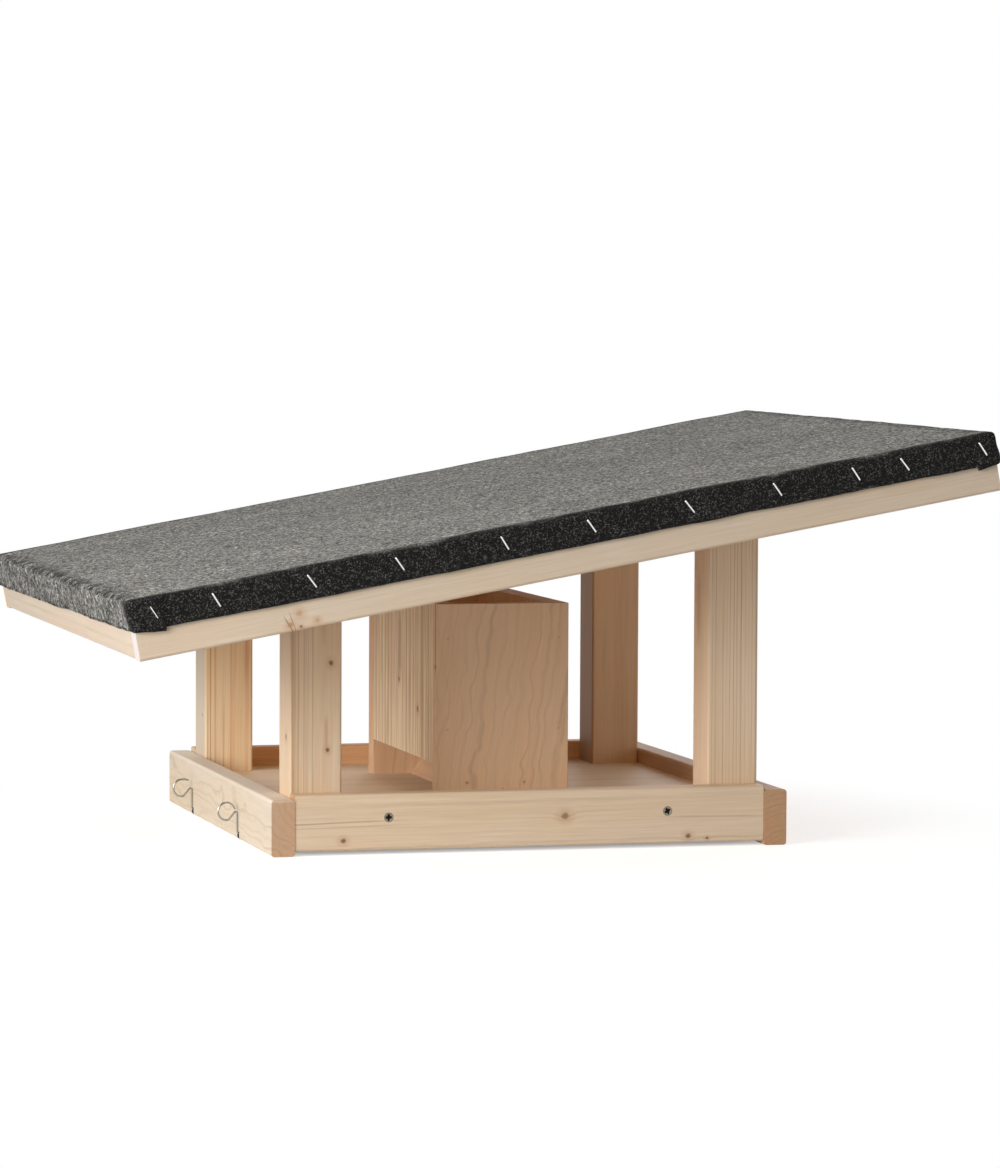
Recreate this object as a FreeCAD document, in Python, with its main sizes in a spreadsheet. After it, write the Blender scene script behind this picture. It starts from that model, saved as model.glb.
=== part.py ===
"""Open bird table with a seed hopper under a felted lean-to roof, in millimetres.

A shallow tray of softwood boards carries four corner posts. The posts hold up a wide roof that
rises towards +X: a deck let into a frame of boards on edge, covered with bitumen felt that is
turned down over the edges and stapled. A seed hopper stands in the middle of the tray, and two
bent wire hooks for fat balls hang out from the left end board.

Frame: +X along the front towards the high end of the roof, +Y from front to back, +Z up. The
origin is on the ground under the middle of the whole.
"""
import FreeCAD, Part
import math
import os
import Sketcher

# Driving dimensions: alias, value in mm or degrees, what it is
DIMENSIONS = [
    ("base_left", -214.0, "outer face of the left end board"),
    ("base_length", 425.0, "tray over both end boards"),
    ("base_depth", 428.0, "length of an end board, front to back"),
    ("board_thick", 19.0, "planed board of tray and roof frame"),
    ("board_height", 45.0, "the same board on edge"),
    ("board_round", 2.5, "rounding along a board's long edges"),
    ("rim_lift", 3.5, "front and rear boards above the end boards' lower edge"),
    ("rim_setback", 0.6, "front and rear boards behind the end boards' ends"),
    ("floor_top", 32.0, "top of the tray floor above ground"),
    ("floor_thick", 18.0, "tray floor panel"),
    ("post_width", 42.0, "post along the front"),
    ("post_depth", 42.0, "post from front to back"),
    ("post_round", 2.0, "rounding of a post's long edges"),
    ("roof_tilt", 10.33, "slope of the roof in degrees"),
    ("roof_length", 702.0, "roof frame along the slope"),
    ("roof_depth", 648.0, "roof frame, front to back"),
    ("roof_low_reach", 125.0, "low edge of the roof out from the left end board"),
    ("roof_low_height", 164.4, "low edge of the roof above ground"),
    ("deck_thick", 18.0, "roof deck panel"),
    ("felt_thick", 2.6, "mineral felt"),
    ("felt_turndown", 23.0, "felt below the deck's top on each side"),
    ("felt_round", 3.2, "outer radius of the felt over an edge"),
    ("flap_width", 22.0, "corner fold that shows under the felt"),
    ("flap_drop", 3.0, "corner fold below the felt's edge"),
    ("hopper_offset", 156.5, "hopper's left face from the left end board"),
    ("hopper_width", 110.0, "hopper along the front"),
    ("hopper_depth", 247.0, "hopper from front to back"),
    ("hopper_height", 160.0, "hopper above the tray floor"),
    ("panel_thick", 17.0, "hopper panel"),
    ("panel_round", 0.8, "broken edge of a hopper panel"),
    ("seed_slot", 30.0, "open height under the hopper's side panels"),
    ("ridge_width", 44.0, "foot of the seed ridge"),
    ("ridge_height", 26.0, "seed ridge above the floor"),
    ("screw_shank", 3.5, "wood screw shank"),
    ("screw_head", 8.0, "countersunk head"),
    ("screw_length", 45.0, "wood screw"),
    ("screw_rim", 0.4, "straight rim above the head's cone"),
    ("brad_wide", 1.6, "brad, a square-edged nail without a head"),
    ("brad_thick", 1.4, "the same brad the other way"),
    ("brad_length", 40.0, "brad"),
    ("brad_point", 2.5, "wedge at the brad's end"),
    ("staple_crown", 12.0, "width of a felt staple"),
    ("small_crown", 6.0, "width of a hook's staple"),
    ("staple_leg", 8.0, "depth of a staple's legs"),
    ("staple_wire", 1.2, "staple wire, wide"),
    ("staple_flat", 0.7, "staple wire, thick"),
    ("hook_wire", 1.6, "fat ball hook wire"),
    ("hook_loop", 7.3, "hook loop radius to the middle of the wire"),
    ("hook_gap", 0.05, "between the hook's wire and the board"),
    ("hook_loop_out", 9.4, "middle of the loop out from the board"),
    ("hook_loop_height", 23.0, "middle of the loop above ground"),
    ("hook_neck_out", 8.6, "neck of the loop out from the board"),
    ("hook_shank_top", 24.8, "fold at the top of the shank above ground"),
    ("hook_inner_top", 13.0, "end of the inner leg above ground"),
    ("hook_tip_turn", 55.0, "turn of the loop's open end past its top, in degrees"),
    ("hook_tip_run", 0.4, "straight run at the open end"),
    ("notch_width", 6.0, "notch for the hook wire"),
    ("notch_height", 6.0, "notch above the board's lower edge"),
]

# Places along the front from the left end board's outer face, and heights above ground
RIM_SCREW_PLACES = (95.0, 325.0)
RIM_SCREW_HEIGHT = 29.5
END_BRAD_HEIGHTS = (15.0, 37.0)
HOPPER_BRAD_HEIGHTS = (90.0, 164.0)
RIDGE_BRAD_HEIGHT = 41.0
HOPPER_SCREW_INSETS = (30.0, 80.0)

# Hooks: places along the left end board from its front end, height of the staple that holds the
# inner leg, and the radii of the bends at the leg, the notch, the fold and the neck
HOOK_PLACES = (130.5, 322.5)
HOOK_STAPLE_HEIGHT = 9.8
HOOK_BENDS = (1.6, 1.6, 1.3, 1.5)

# Sides of what is round and small
SCREW_SIDES = 12
WIRE_SIDES = 8

# Staples along the roof's front from its low end, and each one's slant off the roof's normal
STAPLE_PLACES = (16.5, 65.5, 141.0, 211.0, 295.5, 366.0, 446.5, 519.0, 584.5, 625.5, 691.0)
STAPLE_SLANTS = (24.0, 22.0, 27.0, 25.0, 22.0, 26.0, 29.0, 26.0, 24.0, 28.0, 24.0)
STAPLE_BELOW_DECK_TOP = 9.5

# Brads through the roof's boards, hidden under the felt
DECK_BRADS_ALONG_FRONT = (52.0, 202.0, 351.0, 500.0, 650.0)
DECK_BRADS_ALONG_SIDE = (-225.0, -75.0, 75.0, 225.0)
DECK_BRAD_BELOW_TOP = 9.0
CORNER_BRAD_HEIGHTS = (12.0, 30.0)

X_AXIS = FreeCAD.Vector(1, 0, 0)
Y_AXIS = FreeCAD.Vector(0, 1, 0)
Z_AXIS = FreeCAD.Vector(0, 0, 1)

doc = FreeCAD.newDocument("bird_table")
sheet = doc.addObject("Spreadsheet::Sheet", "dims")
for row, (alias, value, meaning) in enumerate(DIMENSIONS, start=1):
    sheet.set("A%d" % row, alias)
    sheet.set("B%d" % row, str(value))
    sheet.set("C%d" % row, meaning)
    sheet.setAlias("B%d" % row, alias)
doc.recompute()

nodes = []


def size(alias):
    """Value of a driving dimension."""
    return float(sheet.get(alias))


def keep(obj, label):
    """Register a finished sub-part under its node name."""
    obj.Label = label
    nodes.append(obj)
    return obj


def plane(body, role):
    """Origin plane of a body: XY_Plane, XZ_Plane or YZ_Plane."""
    for feature in body.Origin.OriginFeatures:
        if feature.Role == role:
            return feature
    raise ValueError("no plane " + role)


def outline(body, role, corners, name="Outline", level="0"):
    """Closed sketch of straight lines, each corner held by two distances bound to the sheet.

    The lines start as a small regular polygon and move to their places when the distances are
    bound. level lifts the sketch off its plane.
    """
    sketch = body.newObject("Sketcher::SketchObject", name)
    sketch.AttachmentSupport = [(plane(body, role), "")]
    sketch.MapMode = "FlatFace"
    sketch.setExpression("AttachmentOffset.Base.z", level)
    count = len(corners)
    turns = [2 * math.pi * i / count for i in range(count)]
    start = [FreeCAD.Vector(10 * math.cos(turn), 10 * math.sin(turn), 0) for turn in turns]
    for i in range(count):
        sketch.addGeometry(Part.LineSegment(start[i], start[(i + 1) % count]), False)
    for i in range(count):
        sketch.addConstraint(Sketcher.Constraint("Coincident", i, 2, (i + 1) % count, 1))
    for i, (across, up) in enumerate(corners):
        held = sketch.addConstraint(Sketcher.Constraint("DistanceX", -1, 1, i, 1, start[i].x))
        sketch.setExpression("Constraints[%d]" % held, across)
        held = sketch.addConstraint(Sketcher.Constraint("DistanceY", -1, 1, i, 1, start[i].y))
        sketch.setExpression("Constraints[%d]" % held, up)
    return sketch


def box_corners(low_a, high_a, low_b, high_b):
    """Corners of a rectangle between four expressions."""
    return [(low_a, low_b), (high_a, low_b), (high_a, high_b), (low_a, high_b)]


def pad(body, sketch, length, side="One side", name="Pad"):
    """Extrude a sketch along its normal, or half to each side."""
    feature = body.newObject("PartDesign::Pad", name)
    feature.Profile = sketch
    feature.SideType = side
    feature.setExpression("Length", length)
    doc.recompute()
    return feature


def pocket(body, sketch, depth, side="One side", name="Pocket"):
    """Cut a sketch along its normal's far side, or half to each side, and see that it cut."""
    before = body.Shape.Volume
    feature = body.newObject("PartDesign::Pocket", name)
    feature.Profile = sketch
    feature.SideType = side
    feature.setExpression("Length", depth)
    doc.recompute()
    assert body.Shape.Volume < before, body.Name + ": the pocket cut nothing"
    return feature


def round_edges(body, base, radius, wanted):
    """Fillet the edges of a feature that a test picks out."""
    names = ["Edge%d" % (i + 1) for i, edge in enumerate(base.Shape.Edges) if wanted(edge)]
    feature = body.newObject("PartDesign::Fillet", "Rounding")
    feature.Base = (base, names)
    feature.setExpression("Radius", radius)
    doc.recompute()
    return feature


def runs_along(direction):
    """Test for straight edges that run along a direction."""
    def wanted(edge):
        return edge.Length > 1 and abs(edge.tangentAt(edge.FirstParameter).dot(direction)) > 0.999
    return wanted


def set_down(obj, x="0", y="0", z="0"):
    """Bind an object's place to expressions."""
    obj.setExpression("Placement.Base.x", x)
    obj.setExpression("Placement.Base.y", y)
    obj.setExpression("Placement.Base.z", z)


def tilt_with_roof(obj):
    """Stand an object drawn in the roof's own frame at the roof's low front corner line."""
    obj.Placement = FreeCAD.Placement(FreeCAD.Vector(), FreeCAD.Rotation(Y_AXIS, -1))
    obj.setExpression("Placement.Rotation.Angle", "-dims.roof_tilt")
    set_down(obj, x="dims.base_left - dims.roof_low_reach", z="dims.roof_low_height")


def roof_frame():
    """The roof frame's placement, for pieces that are copied into it."""
    corner = FreeCAD.Vector(size("base_left") - size("roof_low_reach"), 0, size("roof_low_height"))
    return FreeCAD.Placement(corner, FreeCAD.Rotation(Y_AXIS, -size("roof_tilt")))


def driven(point, direction):
    """Placement that turns a fastener drawn pointing down to point along a direction."""
    return FreeCAD.Placement(FreeCAD.Vector(*point), FreeCAD.Rotation(-Z_AXIS, direction))


def group(label, master, placements):
    """Identical fasteners as separate solids under one node."""
    feature = doc.addObject("Part::Feature", label)
    copies = []
    for placement in placements:
        copy = master.Shape.copy()
        copy.Placement = placement.multiply(master.Placement)
        copies.append(copy)
    feature.Shape = Part.makeCompound(copies)
    return keep(feature, label)


def seated(label, blank, *fasteners):
    """A wooden piece with the holes that its fasteners sit in."""
    tool = fasteners[0]
    if len(fasteners) > 1:
        tool = doc.addObject("Part::Compound", label + "_fasteners")
        tool.Links = list(fasteners)
    feature = doc.addObject("Part::Cut", label)
    feature.Base = blank
    feature.Tool = tool
    doc.recompute()
    assert feature.Shape.Volume < blank.Shape.Volume, label + ": no hole was cut"
    return keep(feature, label)


# Masters of the fasteners, drawn pointing down from the face that they are driven into

def ring_corners(radius):
    """Corners of a many-sided outline in place of a small circle."""
    turns = [360.0 * side / SCREW_SIDES for side in range(SCREW_SIDES)]
    return [("%s * cos(%g deg)" % (radius, turn), "%s * sin(%g deg)" % (radius, turn)) for turn in turns]


def chamfer_end(body, base, level, width, name):
    """Chamfer the edges of a feature that lie at one height."""
    names = ["Edge%d" % (i + 1) for i, edge in enumerate(base.Shape.Edges)
             if abs(edge.BoundBox.ZMin - level) < 0.01 and edge.BoundBox.ZLength < 0.01]
    feature = body.newObject("PartDesign::Chamfer", name)
    feature.Base = (base, names)
    feature.setExpression("Size", width)
    doc.recompute()
    return feature


def make_screw():
    """Countersunk wood screw with a pointed tip; its head's top lies at the origin."""
    body = doc.addObject("PartDesign::Body", "screw")
    cone = "(dims.screw_head - dims.screw_shank) / 2"
    head_depth = "(dims.screw_rim + %s)" % cone
    disc = outline(body, "XY_Plane", ring_corners("dims.screw_head / 2"), "Head", "-" + head_depth)
    head = pad(body, disc, head_depth, name="HeadPad")
    chamfer_end(body, head, -head.Length.Value, cone, "Countersink")
    bar = outline(body, "XY_Plane", ring_corners("dims.screw_shank / 2"), "Shank", "-dims.screw_length")
    shank = pad(body, bar, "dims.screw_length - dims.screw_rim", name="ShankPad")
    chamfer_end(body, shank, -size("screw_length"), "0.4 * dims.screw_shank", "Tip")
    return body


def make_brad():
    """Headless nail of square section that ends in a wedge."""
    body = doc.addObject("PartDesign::Body", "brad")
    half = "dims.brad_wide / 2"
    shoulder = "-dims.brad_length + dims.brad_point"
    profile = outline(body, "XZ_Plane", [
        ("-" + half, "0"), ("-" + half, shoulder), ("0", "-dims.brad_length"),
        (half, shoulder), (half, "0")])
    pad(body, profile, "dims.brad_thick", side="Symmetric")
    return body


def make_staple(name, crown):
    """Flat wire staple: the crown lies on the face and the legs point down."""
    body = doc.addObject("PartDesign::Body", name)
    half, inner = crown + " / 2", crown + " / 2 - dims.staple_flat"
    profile = outline(body, "XZ_Plane", [
        ("-" + half, "dims.staple_flat"), ("-" + half, "-dims.staple_leg"),
        ("-(" + inner + ")", "-dims.staple_leg"), ("-(" + inner + ")", "0"),
        (inner, "0"), (inner, "-dims.staple_leg"),
        (half, "-dims.staple_leg"), (half, "dims.staple_flat")])
    pad(body, profile, "dims.staple_wire", side="Symmetric")
    return body


screw = make_screw()
brad = make_brad()
staple = make_staple("staple", "dims.staple_crown")
small_staple = make_staple("small_staple", "dims.small_crown")

# Named places that several pieces share
base_left = size("base_left")
base_right = base_left + size("base_length")
base_front = -size("base_depth") / 2
rim_front = base_front + size("rim_setback")
board = size("board_thick")
post_centres_x = (base_left + board + size("post_width") / 2,
                  base_right - board - size("post_width") / 2)
post_centre_y = -rim_front - board - size("post_depth") / 2
floor_under = size("floor_top") - size("floor_thick")
hopper_left = base_left + size("hopper_offset")
hopper_right = hopper_left + size("hopper_width")
hopper_front = -size("hopper_depth") / 2
panel_middle = size("panel_thick") / 2


# Fasteners, placed before the wood that they hold

def tray_fasteners():
    """Screws and brads of the tray."""
    rim_places = []
    for along in RIM_SCREW_PLACES:
        rim_places.append(driven((base_left + along, rim_front, RIM_SCREW_HEIGHT), Y_AXIS))
        rim_places.append(driven((base_left + along, -rim_front, RIM_SCREW_HEIGHT), -Y_AXIS))
    rim_screws = group("rim_screws", screw, rim_places)
    brad_places = []
    for height in END_BRAD_HEIGHTS:
        for y in (rim_front + board / 2, -rim_front - board / 2):
            brad_places.append(driven((base_left, y, height), X_AXIS))
            brad_places.append(driven((base_right, y, height), -X_AXIS))
    end_brads = group("end_board_brads", brad, brad_places)
    post_places = [driven((x, y, floor_under), Z_AXIS)
                   for x in post_centres_x for y in (-post_centre_y, post_centre_y)]
    post_screws = group("post_floor_screws", screw, post_places)
    return rim_screws, end_brads, post_screws


def hopper_fasteners():
    """Brads through the hopper's front and rear panels, and screws up through the floor."""
    brad_places = []
    for x in (hopper_left + panel_middle, hopper_right - panel_middle):
        for height in HOPPER_BRAD_HEIGHTS:
            brad_places.append(driven((x, hopper_front, height), Y_AXIS))
            brad_places.append(driven((x, -hopper_front, height), -Y_AXIS))
    middle = (hopper_left + hopper_right) / 2
    brad_places.append(driven((middle, hopper_front, RIDGE_BRAD_HEIGHT), Y_AXIS))
    brad_places.append(driven((middle, -hopper_front, RIDGE_BRAD_HEIGHT), -Y_AXIS))
    brads = group("hopper_brads", brad, brad_places)
    screw_places = []
    for inset in HOPPER_SCREW_INSETS:
        for y in (hopper_front + panel_middle, -hopper_front - panel_middle):
            screw_places.append(driven((hopper_left + inset, y, floor_under), Z_AXIS))
    screws = group("hopper_floor_screws", screw, screw_places)
    return brads, screws


def roof_fasteners():
    """Screws from the deck into the posts, and brads through the roof's boards, under the felt."""
    frame = roof_frame()
    tilt = math.radians(size("roof_tilt"))
    under = size("board_height") - size("deck_thick")
    low_edge = base_left - size("roof_low_reach")
    screw_places = []
    for x in post_centres_x:
        along = (x - low_edge + under * math.sin(tilt)) / math.cos(tilt)
        for y in (-post_centre_y, post_centre_y):
            head = (along, y, size("board_height"))
            screw_places.append(frame.multiply(driven(head, -Z_AXIS)))
    deck_screws = group("post_deck_screws", screw, screw_places)
    length, half = size("roof_length"), size("roof_depth") / 2
    height = size("board_height") - DECK_BRAD_BELOW_TOP
    brad_places = []
    for along in DECK_BRADS_ALONG_FRONT:
        brad_places.append(driven((along, -half, height), Y_AXIS))
        brad_places.append(driven((along, half, height), -Y_AXIS))
    for across in DECK_BRADS_ALONG_SIDE:
        brad_places.append(driven((0, across, height), X_AXIS))
        brad_places.append(driven((length, across, height), -X_AXIS))
    for along in (board / 2, length - board / 2):
        for low in CORNER_BRAD_HEIGHTS:
            brad_places.append(driven((along, -half, low), Y_AXIS))
            brad_places.append(driven((along, half, low), -Y_AXIS))
    brads = group("roof_frame_brads", brad, [frame.multiply(place) for place in brad_places])
    return deck_screws, brads


def felt_fasteners():
    """Staples through the felt into the front and rear boards, slanted as the hand left them."""
    frame = roof_frame()
    face = size("roof_depth") / 2 + size("felt_thick")
    height = size("board_height") - STAPLE_BELOW_DECK_TOP
    front, rear = [], []
    for along, slant in zip(STAPLE_PLACES, STAPLE_SLANTS):
        front.append(frame.multiply(stapled((along, -face, height), Y_AXIS, slant)))
        rear.append(frame.multiply(stapled((along, face, height), -Y_AXIS, slant)))
    return group("felt_staples_front", staple, front), group("felt_staples_rear", staple, rear)


def stapled(point, direction, slant):
    """Placement of a staple on a face: its crown stands up the face, leaning by the slant."""
    upright = FreeCAD.Rotation(FreeCAD.Vector(0, 0, 1), -direction)
    place = FreeCAD.Placement(FreeCAD.Vector(*point), upright)
    crown = upright.multVec(X_AXIS)
    wanted = FreeCAD.Rotation(Y_AXIS, -slant).multVec(Z_AXIS)
    return FreeCAD.Placement(place.Base, FreeCAD.Rotation(crown, wanted) * upright)


rim_screws, end_board_brads, post_floor_screws = tray_fasteners()
hopper_brads, hopper_floor_screws = hopper_fasteners()
post_deck_screws, roof_frame_brads = roof_fasteners()
felt_staples_front, felt_staples_rear = felt_fasteners()


# Hooks

def bent_wire(points, radii, thick):
    """Wire of straight runs and tangent bends, one solid; a radius for each inner point.

    A many-sided section is pushed along each run and turned about the middle of each bend.
    """
    spots = [FreeCAD.Vector(*point) for point in points]
    here, ahead = spots[0], (spots[1] - spots[0]).normalize()
    reach = thick / 2 / math.cos(math.pi / WIRE_SIDES)
    upright = FreeCAD.Rotation(Z_AXIS, ahead)
    ring = []
    for side in range(WIRE_SIDES):
        turn = math.pi * (2 * side + 1) / WIRE_SIDES
        ring.append(here + upright.multVec(FreeCAD.Vector(math.cos(turn), math.sin(turn), 0) * reach))
    section = Part.Face(Part.makePolygon(ring + ring[:1]))
    stretches = []
    for corner, after, radius in zip(spots[1:], spots[2:], radii):
        onward = (after - corner).normalize()
        turned = math.acos(ahead.dot(onward))
        back = radius * math.tan(turned / 2)
        run = corner - ahead * back - here
        if run.Length > 1e-6:
            stretches.append(section.extrude(run))
            section.translate(run)
        axis = ahead.cross(onward).normalize()
        middle = corner - ahead * back + axis.cross(ahead) * radius
        stretches.append(section.revolve(middle, axis, math.degrees(turned)))
        section.rotate(middle, axis, math.degrees(turned))
        here, ahead = corner + onward * back, onward
    stretches.append(section.extrude(spots[-1] - here))
    return stretches[0].fuse(stretches[1:]).Solids[0]


def make_hook(label, place):
    """Fat ball hook of one bent wire.

    The inner leg stands against the inside of the end board under the floor. The wire passes out
    through the notch, climbs the outer face, folds back on itself and runs round into an open
    loop that stands square off the board.
    """
    wire, loop = size("hook_wire"), size("hook_loop")
    y = base_front + place
    outer = base_left - wire / 2 - size("hook_gap")
    inner = base_left + board + wire / 2 + size("hook_gap")
    cut_run = size("notch_height") - wire / 2
    loop_x, loop_z = base_left - size("hook_loop_out"), size("hook_loop_height")
    low, high, left = loop_z - loop, loop_z + loop, loop_x - loop
    turn = math.radians(size("hook_tip_turn"))
    reach = loop * math.tan(turn / 2)
    tip_run = reach + size("hook_tip_run")
    points = [(inner, y, size("hook_inner_top")), (inner, y, cut_run), (outer, y, cut_run),
              (outer, y, size("hook_shank_top")), (base_left - size("hook_neck_out"), y, low),
              (left, y, low), (left, y, high), (loop_x + reach, y, high),
              (loop_x + reach + tip_run * math.cos(turn), y, high - tip_run * math.sin(turn))]
    feature = doc.addObject("Part::Feature", label)
    feature.Shape = bent_wire(points, HOOK_BENDS + (loop, loop, loop), wire)
    return keep(feature, label)


for label, place in zip(("fat_ball_hook_front", "fat_ball_hook_rear"), HOOK_PLACES):
    make_hook(label, place)
hook_staple_places = []
for place in HOOK_PLACES:
    leg_side = base_left + board + size("hook_wire") + 2 * size("hook_gap")
    turned = driven((leg_side, base_front + place, HOOK_STAPLE_HEIGHT), -X_AXIS)
    across = FreeCAD.Rotation(turned.Rotation.multVec(X_AXIS), Y_AXIS)
    hook_staple_places.append(FreeCAD.Placement(turned.Base, across * turned.Rotation))
hook_staples = group("hook_staples", small_staple, hook_staple_places)


# Tray

def make_rim_board(label, y_place, *fasteners):
    """Front or rear board, standing between the end boards."""
    body = doc.addObject("PartDesign::Body", label + "_blank")
    profile = outline(body, "YZ_Plane", box_corners("0", "dims.board_thick", "0", "dims.board_height"))
    length = pad(body, profile, "dims.base_length - 2 * dims.board_thick")
    round_edges(body, length, "dims.board_round", runs_along(X_AXIS))
    set_down(body, x="dims.base_left + dims.board_thick", y=y_place, z="dims.rim_lift")
    doc.recompute()
    return seated(label, body, *fasteners)


def make_end_board(label, x_place, notches, *fasteners):
    """Full-depth end board; a notch in its lower edge for each hook."""
    body = doc.addObject("PartDesign::Body", label + "_blank")
    profile = outline(body, "XZ_Plane", box_corners("0", "dims.board_thick", "0", "dims.board_height"))
    length = pad(body, profile, "dims.base_depth", side="Symmetric")
    round_edges(body, length, "dims.board_round", runs_along(Y_AXIS))
    for number, place in enumerate(notches, start=1):
        middle = "%g - dims.base_depth / 2" % place
        cut = outline(body, "YZ_Plane", box_corners(
            middle + " - dims.notch_width / 2", middle + " + dims.notch_width / 2",
            "-1", "dims.notch_height"), name="NotchOutline%d" % number)
        pocket(body, cut, "3 * dims.board_thick", side="Symmetric", name="Notch%d" % number)
    set_down(body, x=x_place)
    doc.recompute()
    return seated(label, body, *fasteners)


def make_floor():
    """Tray floor panel, let in between the four boards."""
    body = doc.addObject("PartDesign::Body", "tray_floor_blank")
    half = "(dims.base_depth / 2 - dims.rim_setback - dims.board_thick)"
    profile = outline(body, "XY_Plane", box_corners(
        "0", "dims.base_length - 2 * dims.board_thick", "-" + half, half))
    pad(body, profile, "dims.floor_thick")
    set_down(body, x="dims.base_left + dims.board_thick", z="dims.floor_top - dims.floor_thick")
    doc.recompute()
    return seated("tray_floor", body, rim_screws, post_floor_screws, hopper_floor_screws)


make_end_board("end_board_left", "dims.base_left", HOOK_PLACES, end_board_brads, hook_staples)
make_end_board("end_board_right", "dims.base_left + dims.base_length - dims.board_thick", (),
               end_board_brads)
make_rim_board("rim_board_front", "-dims.base_depth / 2 + dims.rim_setback", rim_screws, end_board_brads)
make_rim_board("rim_board_rear", "dims.base_depth / 2 - dims.rim_setback - dims.board_thick",
               rim_screws, end_board_brads)
make_floor()


# Posts

def make_post(label, x_place, y_place):
    """Corner post from the floor to the deck, its top cut to the roof's slope."""
    body = doc.addObject("PartDesign::Body", label + "_blank")
    slope = "tan(dims.roof_tilt * 1 deg)"
    under_deck = "(dims.board_height - dims.deck_thick) / cos(dims.roof_tilt * 1 deg)"
    foot = "(dims.roof_low_height + %s - dims.floor_top)" % under_deck
    out = "(%s - dims.base_left + dims.roof_low_reach)" % x_place
    left_top = "%s + %s * %s" % (foot, out, slope)
    right_top = "%s + (%s + dims.post_width) * %s" % (foot, out, slope)
    profile = outline(body, "XZ_Plane", [
        ("0", "0"), ("dims.post_width", "0"), ("dims.post_width", right_top), ("0", left_top)])
    length = pad(body, profile, "dims.post_depth", side="Symmetric")
    round_edges(body, length, "dims.post_round", runs_along(Z_AXIS))
    set_down(body, x=x_place, y=y_place, z="dims.floor_top")
    doc.recompute()
    return seated(label, body, post_floor_screws, post_deck_screws)


POST_LEFT = "dims.base_left + dims.board_thick"
POST_RIGHT = "dims.base_left + dims.base_length - dims.board_thick - dims.post_width"
POST_REAR = "(dims.base_depth / 2 - dims.rim_setback - dims.board_thick - dims.post_depth / 2)"
make_post("post_front_left", POST_LEFT, "-" + POST_REAR)
make_post("post_front_right", POST_RIGHT, "-" + POST_REAR)
make_post("post_rear_left", POST_LEFT, POST_REAR)
make_post("post_rear_right", POST_RIGHT, POST_REAR)


# Hopper

def make_hopper_panel(label, corners, foot, height, *fasteners):
    """Hopper panel from a plan outline, a foot height and a height."""
    body = doc.addObject("PartDesign::Body", label + "_blank")
    profile = outline(body, "XY_Plane", corners)
    length = pad(body, profile, height)
    round_edges(body, length, "dims.panel_round", runs_along(Z_AXIS))
    set_down(body, x="dims.base_left + dims.hopper_offset", z=foot)
    doc.recompute()
    return seated(label, body, *fasteners)


def make_seed_ridge():
    """Ridge along the hopper's floor that sheds the seed to both slots."""
    body = doc.addObject("PartDesign::Body", "seed_ridge_blank")
    middle = "dims.hopper_width / 2"
    profile = outline(body, "XZ_Plane", [
        (middle + " - dims.ridge_width / 2", "0"), (middle + " + dims.ridge_width / 2", "0"),
        (middle, "dims.ridge_height")])
    pad(body, profile, "dims.hopper_depth - 2 * dims.panel_thick", side="Symmetric")
    set_down(body, x="dims.base_left + dims.hopper_offset", z="dims.floor_top")
    doc.recompute()
    return seated("seed_ridge", body, hopper_brads)


HALF_DEPTH = "dims.hopper_depth / 2"
INNER_DEPTH = "(dims.hopper_depth / 2 - dims.panel_thick)"
for label, near, far in (("hopper_panel_front", "-" + HALF_DEPTH, "-" + INNER_DEPTH),
                         ("hopper_panel_rear", INNER_DEPTH, HALF_DEPTH)):
    make_hopper_panel(label, box_corners("0", "dims.hopper_width", near, far), "dims.floor_top",
                      "dims.hopper_height", hopper_brads, hopper_floor_screws)
SIDE_FOOT = "dims.floor_top + dims.seed_slot"
SIDE_HEIGHT = "dims.hopper_height - dims.seed_slot"
INNER_RIGHT = "dims.hopper_width - dims.panel_thick"
for label, low, high in (("hopper_panel_left", "0", "dims.panel_thick"),
                         ("hopper_panel_right", INNER_RIGHT, "dims.hopper_width")):
    make_hopper_panel(label, box_corners(low, high, "-" + INNER_DEPTH, INNER_DEPTH),
                      SIDE_FOOT, SIDE_HEIGHT, hopper_brads)
make_seed_ridge()


# Roof, drawn in its own frame: X up the slope from the low edge, Z square to the deck

def lower_long_edge(direction):
    """Test for the two lower edges that run along a board."""
    along = runs_along(direction)

    def wanted(edge):
        return along(edge) and edge.CenterOfMass.z < 1
    return wanted


def make_roof_board_across(label, low_y, high_y, *fasteners):
    """Front or rear roof board, the full length of the slope."""
    body = doc.addObject("PartDesign::Body", label + "_blank")
    profile = outline(body, "YZ_Plane", box_corners(low_y, high_y, "0", "dims.board_height"))
    length = pad(body, profile, "dims.roof_length")
    round_edges(body, length, "dims.board_round", lower_long_edge(X_AXIS))
    tilt_with_roof(body)
    doc.recompute()
    return seated(label, body, *fasteners)


def make_roof_board_side(label, low_x, high_x):
    """Left or right roof board, between the front and rear boards."""
    body = doc.addObject("PartDesign::Body", label + "_blank")
    profile = outline(body, "XZ_Plane", box_corners(low_x, high_x, "0", "dims.board_height"))
    length = pad(body, profile, "dims.roof_depth - 2 * dims.board_thick", side="Symmetric")
    round_edges(body, length, "dims.board_round", lower_long_edge(Y_AXIS))
    tilt_with_roof(body)
    doc.recompute()
    return seated(label, body, roof_frame_brads)


def make_deck():
    """Deck panel let in flush with the top of the roof's boards."""
    body = doc.addObject("PartDesign::Body", "roof_deck_blank")
    half = "(dims.roof_depth / 2 - dims.board_thick)"
    profile = outline(body, "XY_Plane", box_corners(
        "dims.board_thick", "dims.roof_length - dims.board_thick", "-" + half, half),
        level="dims.board_height - dims.deck_thick")
    pad(body, profile, "dims.deck_thick")
    tilt_with_roof(body)
    doc.recompute()
    return seated("roof_deck", body, roof_frame_brads, post_deck_screws)


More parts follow.
